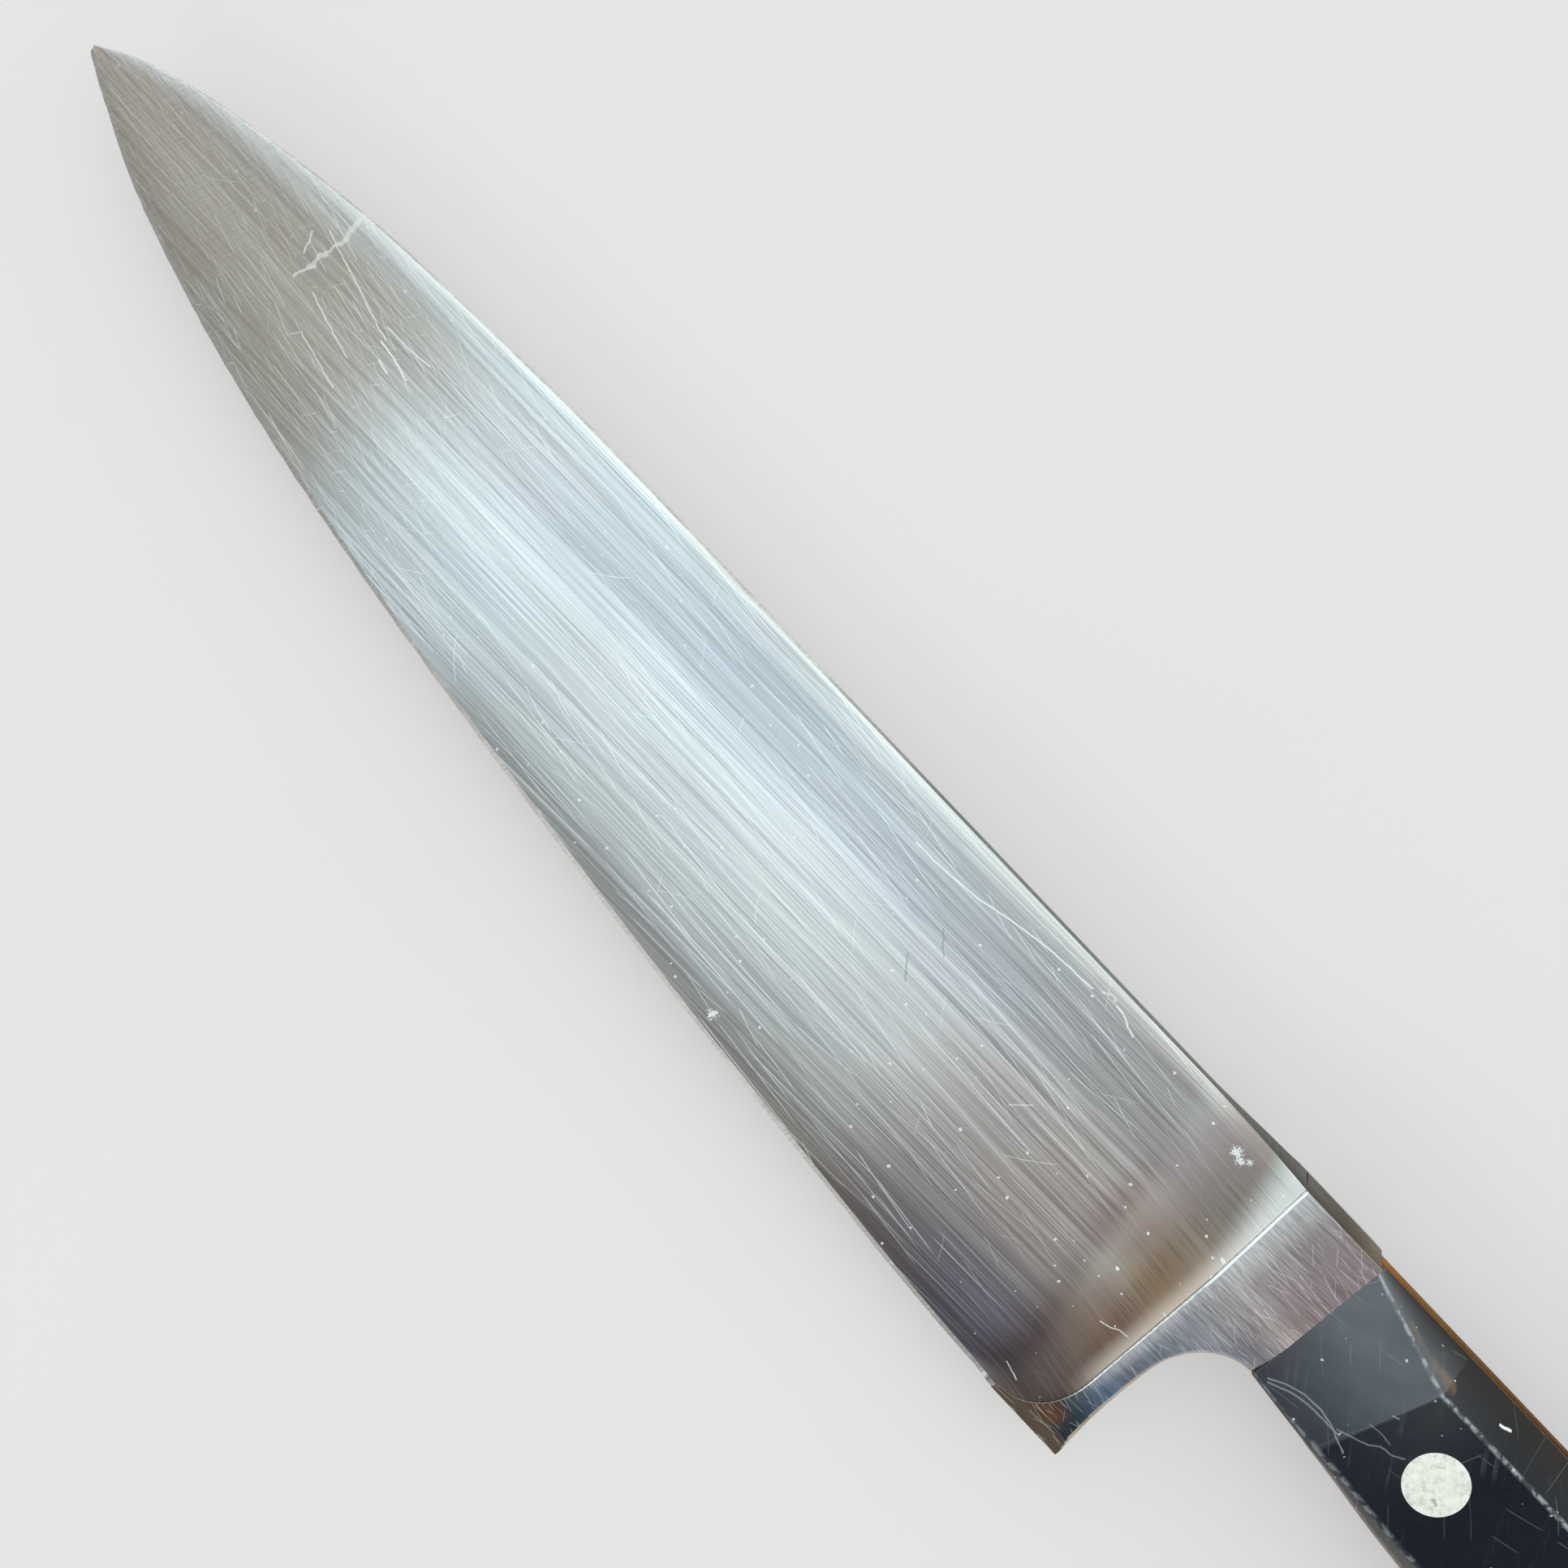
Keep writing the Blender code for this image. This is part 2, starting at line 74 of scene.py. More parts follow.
# Bolster
BOLSTER_THICKNESS = 0.0104
HEEL_THICKNESS = 0.0018
BOLSTER_WIDTH = 0.0120
BOLSTER_DEPTH = 0.0192
TAPER_START = 0.75
RIDGE_LEAN = 0.0018
RIDGE_HOOK = 0.0068
RIDGE_FOOT = 0.80
FILLET_AT_SPINE = 0.0170
FILLET_AT_HEEL = 0.0070
NOTCH_REACH = 0.0072
NOTCH_HEIGHT = 0.0090
SEAM_SHARE, NOTCH_SHARE = 0.40, 0.30  # of the height, beside the seam and round the notch
HEEL_EASE = 0.0006
EASED_BACK = 0.0006
EASED_DROP = 0.0007
EASED_BY = 0.00004  # a face eased by more than this shows the darkened back
UNDERSIDE_DROP = 0.0004  # the bolster's underside, below its side
UNDERSIDE_SHARE = 0.92  # of the side's thickness

# How finely the blade is divided: columns along it, and rows down it.
BLADE_COLUMNS = 120
FILLET_COLUMNS = 44
FACE_COLUMNS = 12
FILLET_LEAD = 0.002  # the fillet's columns start this far before it
ROWS = 44
NEAR_SPINE = [0.0, 0.004, 0.009, 0.015, 0.022, 0.030, 0.040, 0.052, 0.066, 0.082]
BACK_STEPS = (1.0, 0.75, 0.5, 0.3, 0.14, 0.04, 0.0)
SIDE, BOLSTER, SPINE, BEVEL, RIM = range(5)  # the material slots

# Handle
SEAM = SCALE_LOW.x - CAD_GAP - DATUM.x
TOTAL_LENGTH = FORGING_HIGH.x - DATUM.x
HANDLE_LENGTH = TOTAL_LENGTH - SEAM
HALF_HANDLE = SCALE_HIGH.z - DATUM.z
HALF_TANG = SCALE_LOW.z - CAD_GAP - DATUM.z
FRONT_RAMP = 0.0146
RAMP_SLANT = 0.0052
BELLY_DEPTH = 0.0256
WAIST_DEPTH = 0.0238
BUTT_DEPTH = 0.0292
BUTT_DROP = 0.0030
BUTT_CORNER = 0.0075
TOP_CHAMFER = 0.0042
LOWER_CHAMFER = 0.0036
CHAMFER_LAND = 0.0004
RIDGE = SEAM - BOLSTER_WIDTH
HANDLE_SECTIONS = 110
CREASE = 0.0003  # half the width of the crease at each end of the ramp
END_SHRINK = 0.0012  # the scales thin this much round the butt's end
SEAM_GLUE = 0.00002  # between a scale and the tang
TANG_INSIDE = 0.0015  # the tang starts this far inside the bolster
TANG_EASE = 0.00012
CRISP_ANGLE = math.radians(50)  # edges that turn by more than this stay crisp

# Rivets
RIVET_HEAD_HEIGHT = 0.0016
SLEEVE_RADIUS = 0.0025
PIN_RADIUS = 0.0014
RIVET_EASE = 0.0002
RIVET_DOME = 0.00003
RIVET_STEPS = 72

# Camera: it looks at a point on the blade's mid-plane, leaning to the spine and the handle.
CAMERA_TARGET = (0.12027, -0.0125, 0.0)
CAMERA_DISTANCE = 0.22809
LEAN_TO_SPINE = math.radians(12)
LEAN_TO_HANDLE = math.radians(2)
CAMERA_ROLL = math.radians(46.54)
FOCAL_LENGTH = 44.72
SENSOR = 36.0

# Surroundings, by the slope of a direction from straight up: along the knife, and across it.
RAMP_REACH = 0.8
CEILING = [
    (-0.70, (0.42, 0.39, 0.32)),
    (-0.43, (0.41, 0.39, 0.33)),
    (-0.375, (0.50, 0.50, 0.46)),
    (-0.335, (0.85, 0.93, 0.97)),
    (-0.30, (1.13, 1.40, 1.56)),
    (-0.10, (1.20, 1.48, 1.62)),
    (0.06, (1.22, 1.48, 1.58)),
    (0.125, (0.70, 0.75, 0.76)),
    (0.17, (0.51, 0.52, 0.51)),
    (0.28, (0.40, 0.385, 0.385)),
    (0.42, (0.20, 0.20, 0.22)),
    (0.80, (0.30, 0.30, 0.32)),
]
CEILING_ACROSS = [
    (-0.75, 0.38),
    (-0.47, 0.42),
    (-0.40, 0.78),
    (-0.36, 1.15),
    (-0.32, 1.20),
    (-0.28, 1.10),
    (-0.22, 0.92),
    (-0.10, 0.86),
    (0.70, 0.85),
]
SPINE_WALL = (-0.05, 0.28)
SPINE_WALL_COLOUR = (1.45, 1.62, 1.60)
WALLS_FROM = (0.75, 1.05)
WALL_COLOUR = (1.03, 1.02, 1.015)
FLOOR_SHADE = (0.375, 0.352, 0.350)
FLOOR_GLOW = 0.35
FLOOR_HALF = 3.0
LIGHTS = [("low_light", (0.05, -0.9, 0.75), (0.5, 0.35), 0.9, (1.0, 0.99, 0.97))]
GROOVE_TURN = 0.25
# Hairline scratches: turn in degrees, length, spacing and thickness in millimetres, share of places.
BLADE_SCRATCHES = [
    (-3, 30, 1.0, 0.12, 0.50),
    (-6, 24, 1.3, 0.12, 0.45),
    (1.5, 26, 1.2, 0.11, 0.45),
    (-10, 16, 1.8, 0.12, 0.34),
    (6, 14, 2.2, 0.10, 0.28),
    (-18, 9, 3.0, 0.10, 0.22),
    (33, 8, 5.0, 0.09, 0.12),
    (-56, 7, 6.0, 0.09, 0.10),
]
TIP_SCRATCHES = [
    (-12, 11, 1.1, 0.11, 0.60),
    (-17, 8, 1.3, 0.12, 0.50),
    (-7, 14, 1.1, 0.12, 0.55),
    (-25, 6, 2.0, 0.11, 0.40),
    (52, 3, 2.4, 0.12, 0.20),
]
BOLSTER_SCRATCHES = [
    (-6, 5, 0.7, 0.10, 0.55),
    (4, 6, 0.9, 0.10, 0.50),
    (-15, 5, 1.3, 0.10, 0.40),
    (22, 4, 1.8, 0.09, 0.30),
    (-48, 3.5, 2.6, 0.08, 0.25),
]
LONG_SCRATCH = [
    (135.8, -5.7), (140.5, -5.5), (145.4, -4.9), (149.1, -4.0), (153.4, -3.2), (157.2, -2.7), (161.7, -2.5)
]
# Light scratches on the upper side: (x, y) points, width and waviness in millimetres, and strength.
BLADE_MARKS = [
    (LONG_SCRATCH, 0.13, 0.3, 0.95),
    ([(38.2, -2.7), (38.2, -3.9), (38.5, -5.5)], 0.50, 1.6, 0.36),
    ([(38.5, -5.5), (38.0, -7.2), (37.6, -8.9)], 0.34, 1.6, 0.42),
    ([(37.6, -8.9), (37.3, -11.1)], 0.42, 1.7, 0.45),
    ([(37.3, -11.1), (36.9, -12.4), (36.7, -13.2)], 0.22, 1.1, 0.48),
    ([(35.7, -10.3), (35.4, -9.0), (34.8, -7.8)], 0.17, 0.6, 0.55),
    ([(36.4, -6.3), (38.5, -7.0), (44.0, -8.5), (46.6, -9.5), (50.1, -10.4)], 0.11, 0.3, 0.7),
    ([(49.7, -10.9), (52.2, -11.2), (55.1, -12.0)], 0.13, 0.3, 0.9),
    ([(51.0, -12.7), (52.8, -13.1)], 0.15, 0.3, 0.9),
    ([(39.8, -12.9), (44.8, -14.5), (48.0, -15.3)], 0.12, 0.3, 0.6),
    ([(42.0, -17.3), (49.1, -19.0)], 0.12, 0.3, 0.5),
    ([(49.2, -9.2), (53.7, -9.1), (56.1, -8.7)], 0.13, 0.3, 0.7),
    ([(165.1, -1.7), (166.4, -1.9), (167.6, -2.5), (168.9, -2.9)], 0.14, 0.4, 0.85),
    ([(162.8, -1.9), (163.9, -1.4), (164.6, -1.5)], 0.20, 1.4, 0.5),
    ([(165.4, -19.2), (167.3, -17.1)], 0.12, 0.3, 0.5),
    ([(191.2, -28.9), (192.4, -28.4), (193.2, -27.7), (194.2, -27.4)], 0.09, 0.3, 0.8),
    ([(188.1, -41.0), (190.4, -41.6)], 0.10, 0.3, 0.7),
]
# Light, ragged nicks: x and y in millimetres, radius in metres.
NICKS = [
    (134.2, -38.1, 0.00055),
    (186.3, -3.2, 0.00055),
    (187.2, -3.6, 0.00045),
    (188.0, -2.9, 0.00030),
]
# Two short dark scratches.
DARK_SCRATCHES = [[(145.3, -10.3), (147.6, -12.7)], [(144.5, -15.4), (146.8, -18.0)]]
# The choil's band: a painted beige reflection.
CHOIL_PAINTED_REFLECTION = (0.50, 0.42, 0.31)
LONG_HANDLE_SCRATCH = [
    (207.1, -18.0), (208.7, -16.8), (210.7, -15.9), (213.0, -15.6), (214.8, -15.8), (217.7, -16.9)
]
RISING_HANDLE_SCRATCH = [
    (215.4, -15.6), (216.9, -14.9), (218.7, -14.2), (219.7, -13.3), (221.3, -13.0), (222.4, -12.3)
]
# Scratches across the handle's front, laid out as BLADE_MARKS is.
HANDLE_MARKS = [
    (LONG_HANDLE_SCRATCH, 0.14, 0.3, 1),
    ([(207.4, -18.3), (209.6, -17.0), (211.8, -16.3), (213.9, -16.1), (215.9, -15.9)], 0.14, 0.3, 1),
    (RISING_HANDLE_SCRATCH, 0.14, 0.5, 0.75),
    ([(217.1, -12.4), (218.5, -12.2), (220.2, -12.3)], 0.12, 0.3, 0.6),
    ([(217.9, -9.9), (218.6, -9.6)], 0.14, 0.2, 1),
]
HANDLE_NICK = [(227.2, -2.35), (228.0, -2.15), (228.7, -1.95)]
# A golden streak on the top facet: a painted reflection of the tang.
GOLDEN_REFLECTION_PATH = [(212.5, -2.2), (215.8, -3.1), (220.2, -3.3)]
RIVET_PIT = [(227.9, -13.1), (228.5, -13.3)]
# Painted reflections, highlights and shade of the ground side, as broad tints: stops along it in
# millimetres from the tip, stops down it from 0 at the spine to 1 at the edge, and a colour that is
# multiplied in. Two stops are a rise from 0 to 1, and four are a band.
BLADE_PAINTED_LIGHT = [
    ((60, 100), (0.88, 0.98), (0.76, 0.72, 0.70)),
    ((120, 190), None, (0.955, 0.901, 0.883)),
    ((150, 165), (0.30, 0.42), (0.86, 0.82, 0.82)),
    ((178, 184), (0.35, 0.50), (1.15, 1.17, 1.20)),
    ((179, 183.5, 187, 191), (0.56, 0.44), (0.82, 0.73, 0.72)),
    ((165, 182), (0.72, 0.92), (1.08, 1.11, 1.18)),
    ((150, 186), (0.62, 0.95), (0.70, 0.74, 0.92)),
    ((62, 105), (0.02, 0.07, 0.23, 0.38), (0.78, 0.79, 0.82)),
    ((48, 58, 78, 95), (0.34, 0.50), (1.10, 1.14, 1.17)),
    ((68, 44), (0.02, 0.22), (0.77, 0.71, 0.65)),
    ((36, 48, 80, 100), (0.16, 0.05), (1.06, 1.10, 1.12)),
    ((178.5, 187.5), None, (0.62, 0.585, 0.54)),
    ((185, 189, 196, 200), (0.50, 0.60, 0.94, 1.0), (0.80, 0.74, 0.80)),
    ((58, 20), None, (0.94, 0.96, 1.01)),
]
# Painted reflections and shade on the bolster, the same way, its second stops along y in millimetres.
BOLSTER_PAINTED_LIGHT = [
    ((196, 205), (-22, -12), (0.90, 0.78, 0.77)),
    ((198, 194), None, (1.12, 1.15, 1.18)),
    (None, (-19, -13, -9, -4), (1.16, 1.16, 1.15)),
    ((198.5, 204), (-13.5, -18), (0.64, 0.66, 0.70)),
    ((195.5, 198), (-19, -28), (0.68, 0.72, 0.76)),
    ((196, 198.5), (-14, -10.5), (0.76, 0.71, 0.74)),
    (None, (-34, -38), (0.85, 0.79, 0.70)),
    (None, (-38, -40.5), (0.66, 0.62, 0.55)),
    (None, (-12, -26), (0.62, 0.70, 0.79)),
    (None, (-28, -38.5), (0.26, 0.27, 0.26)),
    ((194.5, 197.5), (-30, -36), (1.1, 1.45, 1.9)),
]
RIDGE_SLANT = 0.0022  # how far back the ridge lies at the edge's level
# Painted reflections and shade along the spine and along the tang: (x in millimetres, colour).
SPINE_PAINTED_REFLECTIONS = [
    (60, (0.98, 1.0, 1.0)),
    (108, (0.96, 1.0, 0.99)),
    (134, (0.24, 0.29, 0.28)),
    (172, (0.24, 0.27, 0.26)),
    (188, (0.13, 0.135, 0.12)),
    (200, (0.07, 0.055, 0.035)),
    (206, (0.20, 0.15, 0.08)),
]
TANG_PAINTED_REFLECTIONS = [
    (206, (0.60, 0.29, 0.11)),
    (218, (0.24, 0.14, 0.06)),
    (240, (0.04, 0.028, 0.014)),
]
SCALE_ATTRIBUTES = ("wear", "facet", "ramp")


def blend(start, end, t):
    return start + (end - start) * t


def clamp(value):
    return min(max(value, 0.0), 1.0)


def smooth_step(t):
    t = clamp(t)
    return t * t * (3 - 2 * t)


def curve_through(knots):
    """A function of x: one smooth curve through the (x, y) knots that never swings past them."""
    xs, ys = (np.array(values) for values in zip(*knots))
    spans = np.diff(xs)
    steps = np.diff(ys) / spans
    slopes = [steps[0]]
    for k in range(1, len(steps)):
        before, after = steps[k - 1], steps[k]
        turning = before * after <= 0
        weights = 2 * spans[k] + spans[k - 1], spans[k] + 2 * spans[k - 1]
        slopes.append(0.0 if turning else sum(weights) / (weights[0] / before + weights[1] / after))
    slopes.append(steps[-1])

    def value(x):
        i = int(np.clip(np.searchsorted(xs, x) - 1, 0, len(xs) - 2))
        t = float(np.clip((x - xs[i]) / spans[i], 0, 1))
        start = (1 + 2 * t) * (1 - t) ** 2 * ys[i] + t * (1 - t) ** 2 * spans[i] * slopes[i]
        end = t * t * (3 - 2 * t) * ys[i + 1] + t * t * (t - 1) * spans[i] * slopes[i + 1]
        return float(start + end)

    return value


# ---- outlines, as in the CAD ----

spine_line = curve_through([
    (0.0, TIP_RADIUS - TIP_DROP),
    (0.026 * BLADE_LENGTH, -0.74 * TIP_DROP),
    (0.098 * BLADE_LENGTH, -0.41 * TIP_DROP),
    (0.23 * BLADE_LENGTH, -0.12 * TIP_DROP),
    (0.42 * BLADE_LENGTH, 0.0),
    (TOTAL_LENGTH, 0.0),
])
EDGE_RISE = HEEL_HEIGHT - TIP_DROP
edge_line = curve_through([
    (0.0, -TIP_DROP - TIP_RADIUS),
    (0.02 * BLADE_LENGTH, -TIP_DROP - 0.085 * EDGE_RISE),
    (0.084 * BLADE_LENGTH, -TIP_DROP - 0.27 * EDGE_RISE),
    (0.24 * BLADE_LENGTH, -TIP_DROP - 0.53 * EDGE_RISE),
    (0.46 * BLADE_LENGTH, -TIP_DROP - 0.735 * EDGE_RISE),
    (0.75 * BLADE_LENGTH, -TIP_DROP - 0.92 * EDGE_RISE),
    (0.95 * BLADE_LENGTH, -TIP_DROP - 0.995 * EDGE_RISE),
    (BLADE_LENGTH, -HEEL_HEIGHT + HEEL_LIFT),
])
handle_top = curve_through([
    (SEAM - 0.004, 0.0),
    (SEAM + 0.58 * HANDLE_LENGTH, 0.0),
    (SEAM + 0.84 * HANDLE_LENGTH, -0.35 * BUTT_DROP),
    (TOTAL_LENGTH, -BUTT_DROP),
])
handle_bottom = curve_through([
    (SEAM - 0.004, -BOLSTER_DEPTH),
    (SEAM + 0.09 * HANDLE_LENGTH, -BOLSTER_DEPTH - 0.0004),
    (SEAM + 0.22 * HANDLE_LENGTH, blend(-BOLSTER_DEPTH, -BELLY_DEPTH, 0.48)),
    (SEAM + 0.42 * HANDLE_LENGTH, -BELLY_DEPTH),
    (SEAM + 0.70 * HANDLE_LENGTH, -WAIST_DEPTH),
    (SEAM + 0.94 * HANDLE_LENGTH, -BUTT_DEPTH),
    (TOTAL_LENGTH, -BUTT_DEPTH),
])


def butt_inset(x):
    past = min(max(x - (TOTAL_LENGTH - BUTT_CORNER), 0.0), BUTT_CORNER)
    return BUTT_CORNER - math.sqrt(BUTT_CORNER**2 - past**2)


def handle_edges(x):
    inset = butt_inset(x)
    return handle_top(x) - 0.8 * inset, handle_bottom(x) + inset


# ---- mesh helpers ----


def in_scene(name, data):
    made = bpy.data.objects.new(name, data)
    bpy.context.scene.collection.objects.link(made)
    return made


def finish_mesh(name, mesh, materials):
    """Makes the object of a bmesh, with its UVs laid along the knife, and puts it at the datum."""
    layer = mesh.loops.layers.uv.new("along")
    for face in mesh.faces:
        for loop in face.loops:
            loop[layer].uv = (loop.vert.co.x / TOTAL_LENGTH, loop.vert.co.y / TOTAL_LENGTH)
    data = bpy.data.meshes.new(name)
    mesh.to_mesh(data)
    mesh.free()
    for material in materials:
        data.materials.append(material)
    data.shade_smooth()
    piece = in_scene(name, data)
    piece.location = DATUM
    return piece


def chain_edges(verts):
    """The edges between each vertex and the next."""
    found = []
    for first, second in zip(verts, verts[1:]):
        found += [e for e in first.link_edges if e.other_vert(first) is second]
    return found


# ---- blade and bolster ----


def ridge_place(t):
    if t <= RIDGE_FOOT:
        return RIDGE + RIDGE_LEAN * t / RIDGE_FOOT
    turn = (t - RIDGE_FOOT) / (1 - RIDGE_FOOT)
    return RIDGE + RIDGE_LEAN - RIDGE_HOOK * (1 - math.sqrt(max(1 - turn**2.4, 0.0)))


def back_point(t):
    """A point on the bolster's back: down the seam, round the finger notch and down to the heel."""
    heel_y = -HEEL_HEIGHT + HEEL_EASE
    notch_x = SEAM - NOTCH_REACH
    notch_y = -BOLSTER_DEPTH - NOTCH_HEIGHT
    if t <= SEAM_SHARE:
        return SEAM, -BOLSTER_DEPTH * t / SEAM_SHARE
    if t <= SEAM_SHARE + NOTCH_SHARE:
        angle = math.radians(90) * (t - SEAM_SHARE) / NOTCH_SHARE
        return SEAM - NOTCH_REACH * math.sin(angle), notch_y + NOTCH_HEIGHT * math.cos(angle)
    down = (t - SEAM_SHARE - NOTCH_SHARE) / (1 - SEAM_SHARE - NOTCH_SHARE)
    return notch_x + (BLADE_LENGTH - notch_x) * down**2, blend(notch_y, heel_y, down)


def bolster_half(y):
    start = TAPER_START * BOLSTER_DEPTH
    down = clamp((-y - start) / (HEEL_HEIGHT - start))
    return blend(BOLSTER_THICKNESS, HEEL_THICKNESS, down**1.1) / 2


def blade_half(x, y):
    """Half the ground blade's thickness, down to the shoulder of the sharpened bevel."""
    spine, edge = spine_line(x), edge_line(min(x, BLADE_LENGTH))
    along = min(x / RIDGE, 1.0)
    at_spine = blend(TIP_THICKNESS, SPINE_THICKNESS, along**0.85)
    shoulder = min(edge + BEVEL_HEIGHT, spine)
    up = clamp((y - shoulder) / max(spine - shoulder, 1e-6))
    depth = ROLL_DEPTH * clamp(ROLL_AT_TIP + x / ROLL_FROM)
    roll = depth * (1 - clamp((spine - y) / ROLL_WIDTH)) ** 2
    return blend(SHOULDER_THICKNESS, at_spine, up) / 2 - roll


def steel_half(x, y, ridge_x):
    """Half the thickness in front of the ridge, with the hollow fillet up to it."""
    thin = blade_half(x, y)
    down = clamp(-y / HEEL_HEIGHT)
    reach = blend(FILLET_AT_SPINE, FILLET_AT_HEEL, down)
    near = 1 - clamp((ridge_x - x) / reach)
    return thin + max(bolster_half(y) - thin, 0.0) * near**2.2


def row_heights():
    """Where the rows lie down a column, 0 at the spine to 1: closer together at both ends."""
    shares = [blend(k / ROWS, math.sin(math.pi * k / ROWS / 2), 0.35) for k in range(ROWS + 1)]
    return NEAR_SPINE + [blend(0.1, 1.0, share) for share in shares]


HEIGHTS = row_heights()


def column_ys(x):
    """The rows of an upright column: evenly down to the shoulder, and then the sharpened bevel."""
    spine, edge = spine_line(x), edge_line(x)
    shoulder = edge + min(BEVEL_HEIGHT, BEVEL_SHARE * (spine - edge))
    return [blend(spine, shoulder, t) for t in HEIGHTS] + [edge + edge_wander(x)]


def edge_wander(x):
    """Small unevenness left in the edge by use and sharpening."""
    waves = ((41.0, 0.3), (97.0, 1.7), (233.0, 0.9), (611.0, 2.2))
    return EDGE_WANDER * sum(math.sin(6.283 * n * x / BLADE_LENGTH + p) for n, p in waves) / 2


def blade_column(x):
    ys = column_ys(x)
    column = [(x, y, blade_half(x, y)) for y in ys[:-1]]
    return column + [(x, ys[-1], EDGE_THICKNESS / 2)]


def heel_half(share):
    """Half the bottom edge's thickness, from the sharp edge back to the blunt heel."""
    return blend(EDGE_THICKNESS, HEEL_THICKNESS, smooth_step(share)) / 2


def fillet_column(share, start):
    column = []
    for t in HEIGHTS:
        ridge_x = ridge_place(t)
        x = blend(start, ridge_x, share)
        spine, edge = spine_line(x), edge_line(x)
        y = blend(spine, edge + BEVEL_HEIGHT, t)
        column.append((x, y, steel_half(x, y, ridge_x)))
    x = blend(start, ridge_place(1.0), share)
    edge_y = edge_line(x) + edge_wander(x) * (1 - share)
    return column + [(x, edge_y, heel_half((share - 0.75) / 0.25))]


def bolster_column(share, before_back=0.0):
    """A column across the bolster's side; the last ones are placed by how far they are before its back."""
    column = []
    for t in HEIGHTS:
        ridge_x = ridge_place(t)
        ridge_y = blend(spine_line(ridge_x), edge_line(ridge_x) + BEVEL_HEIGHT, t)
        back_x, back_y = back_point(t)
        width = math.hypot(back_x - ridge_x, back_y - ridge_y)
        here = share - min(before_back / width, 0.15)
        y = blend(ridge_y, back_y, here)
        eased = smooth_step((t - 0.36) / 0.10) * smooth_step((1.0 - t) / 0.15)
        drop = EASED_DROP * eased * clamp(1 - (1 - here) * width / EASED_BACK) ** 2
        column.append((blend(ridge_x, back_x, here), y, bolster_half(y) - drop))
    x, y, half = column[-1]
    under_y = min(y - UNDERSIDE_DROP, -HEEL_HEIGHT + HEEL_LIFT / 3)
    return column + [(x, under_y, half * UNDERSIDE_SHARE)]


def blade_columns():
    """The columns from the tip to the bolster's back, and the number of the one on the ridge."""
    last = RIDGE - FILLET_AT_SPINE - FILLET_LEAD
    upright = [blade_column(last * (k / BLADE_COLUMNS) ** 1.25) for k in range(BLADE_COLUMNS)]
    shares = [1 - (1 - k / FILLET_COLUMNS) ** 1.5 for k in range(FILLET_COLUMNS)] + [0.986]
    fillet = [fillet_column(share, last) for share in shares]
    across = [0.0, 0.022] + [0.04 + 0.76 * k / FACE_COLUMNS for k in range(FACE_COLUMNS + 1)]
    face = [bolster_column(share) for share in across]
    back = [bolster_column(1.0, step * EASED_BACK) for step in BACK_STEPS]
    return upright + fillet + face + back, len(upright) + len(fillet)


def crown_at(x):
    return blend(SPINE_CROWN, BOLSTER_CROWN, smooth_step((x - RIDGE + FILLET_AT_SPINE) / FILLET_AT_SPINE))


def face_kind(columns, ridge_column, i, j):
    """The material of the side's face between columns i and i + 1 and rows j and j + 1."""
    behind = i >= ridge_column
    at_edge = j == len(columns[0]) - 2
    _, y, half = columns[i + 1][j]
    if behind and half < bolster_half(y) - EASED_BY:
        return SPINE
    if i in (ridge_column - 1, ridge_column) and not at_edge:
        return RIM
    if behind:
        return BOLSTER
    return BEVEL if at_edge else SIDE


def cover_blade(mesh, near, far, top, kinds):
    """The faces of both sides, the crowned spine, the sharp edge and the two ends."""

    def add(kind, *verts):
        mesh.faces.new(verts).material_index = kind

    rows = range(len(near[0]) - 1)
    for i in range(len(near) - 1):
        for j in rows:
            add(kinds[i][j], near[i][j], near[i][j + 1], near[i + 1][j + 1], near[i + 1][j])
            add(kinds[i][j], far[i][j], far[i + 1][j], far[i + 1][j + 1], far[i][j + 1])
        add(SPINE, near[i][0], near[i + 1][0], top[i + 1], top[i])
        add(SPINE, top[i], top[i + 1], far[i + 1][0], far[i][0])
        add(SPINE, near[i][-1], far[i][-1], far[i + 1][-1], near[i + 1][-1])
    for i in (0, -1):
        add(SPINE, near[i][0], top[i], far[i][0])
        for j in rows:
            add(SPINE, near[i][j], far[i][j], far[i][j + 1], near[i][j + 1])
    bmesh.ops.recalc_face_normals(mesh, faces=mesh.faces)


def mark_outline(sheet, ridge_column, weight):
    """Marks one side's edges: how much each is rounded, and which stay crisp."""
    for edge in chain_edges([column[0] for column in sheet]):
        edge[weight] = clamp(SPINE_EASE * abs(edge.verts[0].co.z) / EASED_EDGE)
    for edge in chain_edges([column[-1] for column in sheet[ridge_column:]]):
        edge[weight] = LOWER_EASE
    for edge in chain_edges(sheet[-1]):
        edge[weight] = BACK_EASE
    crisp = chain_edges([column[-2] for column in sheet[:ridge_column]])
    crisp += chain_edges([column[-1] for column in sheet])
    for edge in crisp + chain_edges(sheet[-1]) + chain_edges(sheet[0]):
        edge.smooth = False


def make_blade(materials):
    """The ground blade and its bolster, as one closed surface."""
    columns, ridge_column = blade_columns()
    mesh = bmesh.new()
    weight = mesh.edges.layers.float.new("bevel_weight_edge")
    down = mesh.verts.layers.float.new("down")
    near = [[mesh.verts.new((x, y, half)) for x, y, half in column] for column in columns]
    far = [[mesh.verts.new((x, y, -half)) for x, y, half in column] for column in columns]
    for column in near + far:
        for vert, share in zip(column, HEIGHTS + [1.0]):
            vert[down] = share
    top = [mesh.verts.new((c[0][0], c[0][1] + crown_at(c[0][0]), 0.0)) for c in columns]
    rows = range(len(columns[0]) - 1)
    kinds = [[face_kind(columns, ridge_column, i, j) for j in rows] for i in range(len(columns) - 1)]
    cover_blade(mesh, near, far, top, kinds)
    for sheet in (near, far):
        mark_outline(sheet, ridge_column, weight)
    piece = finish_mesh("blade_and_bolster", mesh, materials)
    round_edges(piece, EASED_EDGE)
    return piece


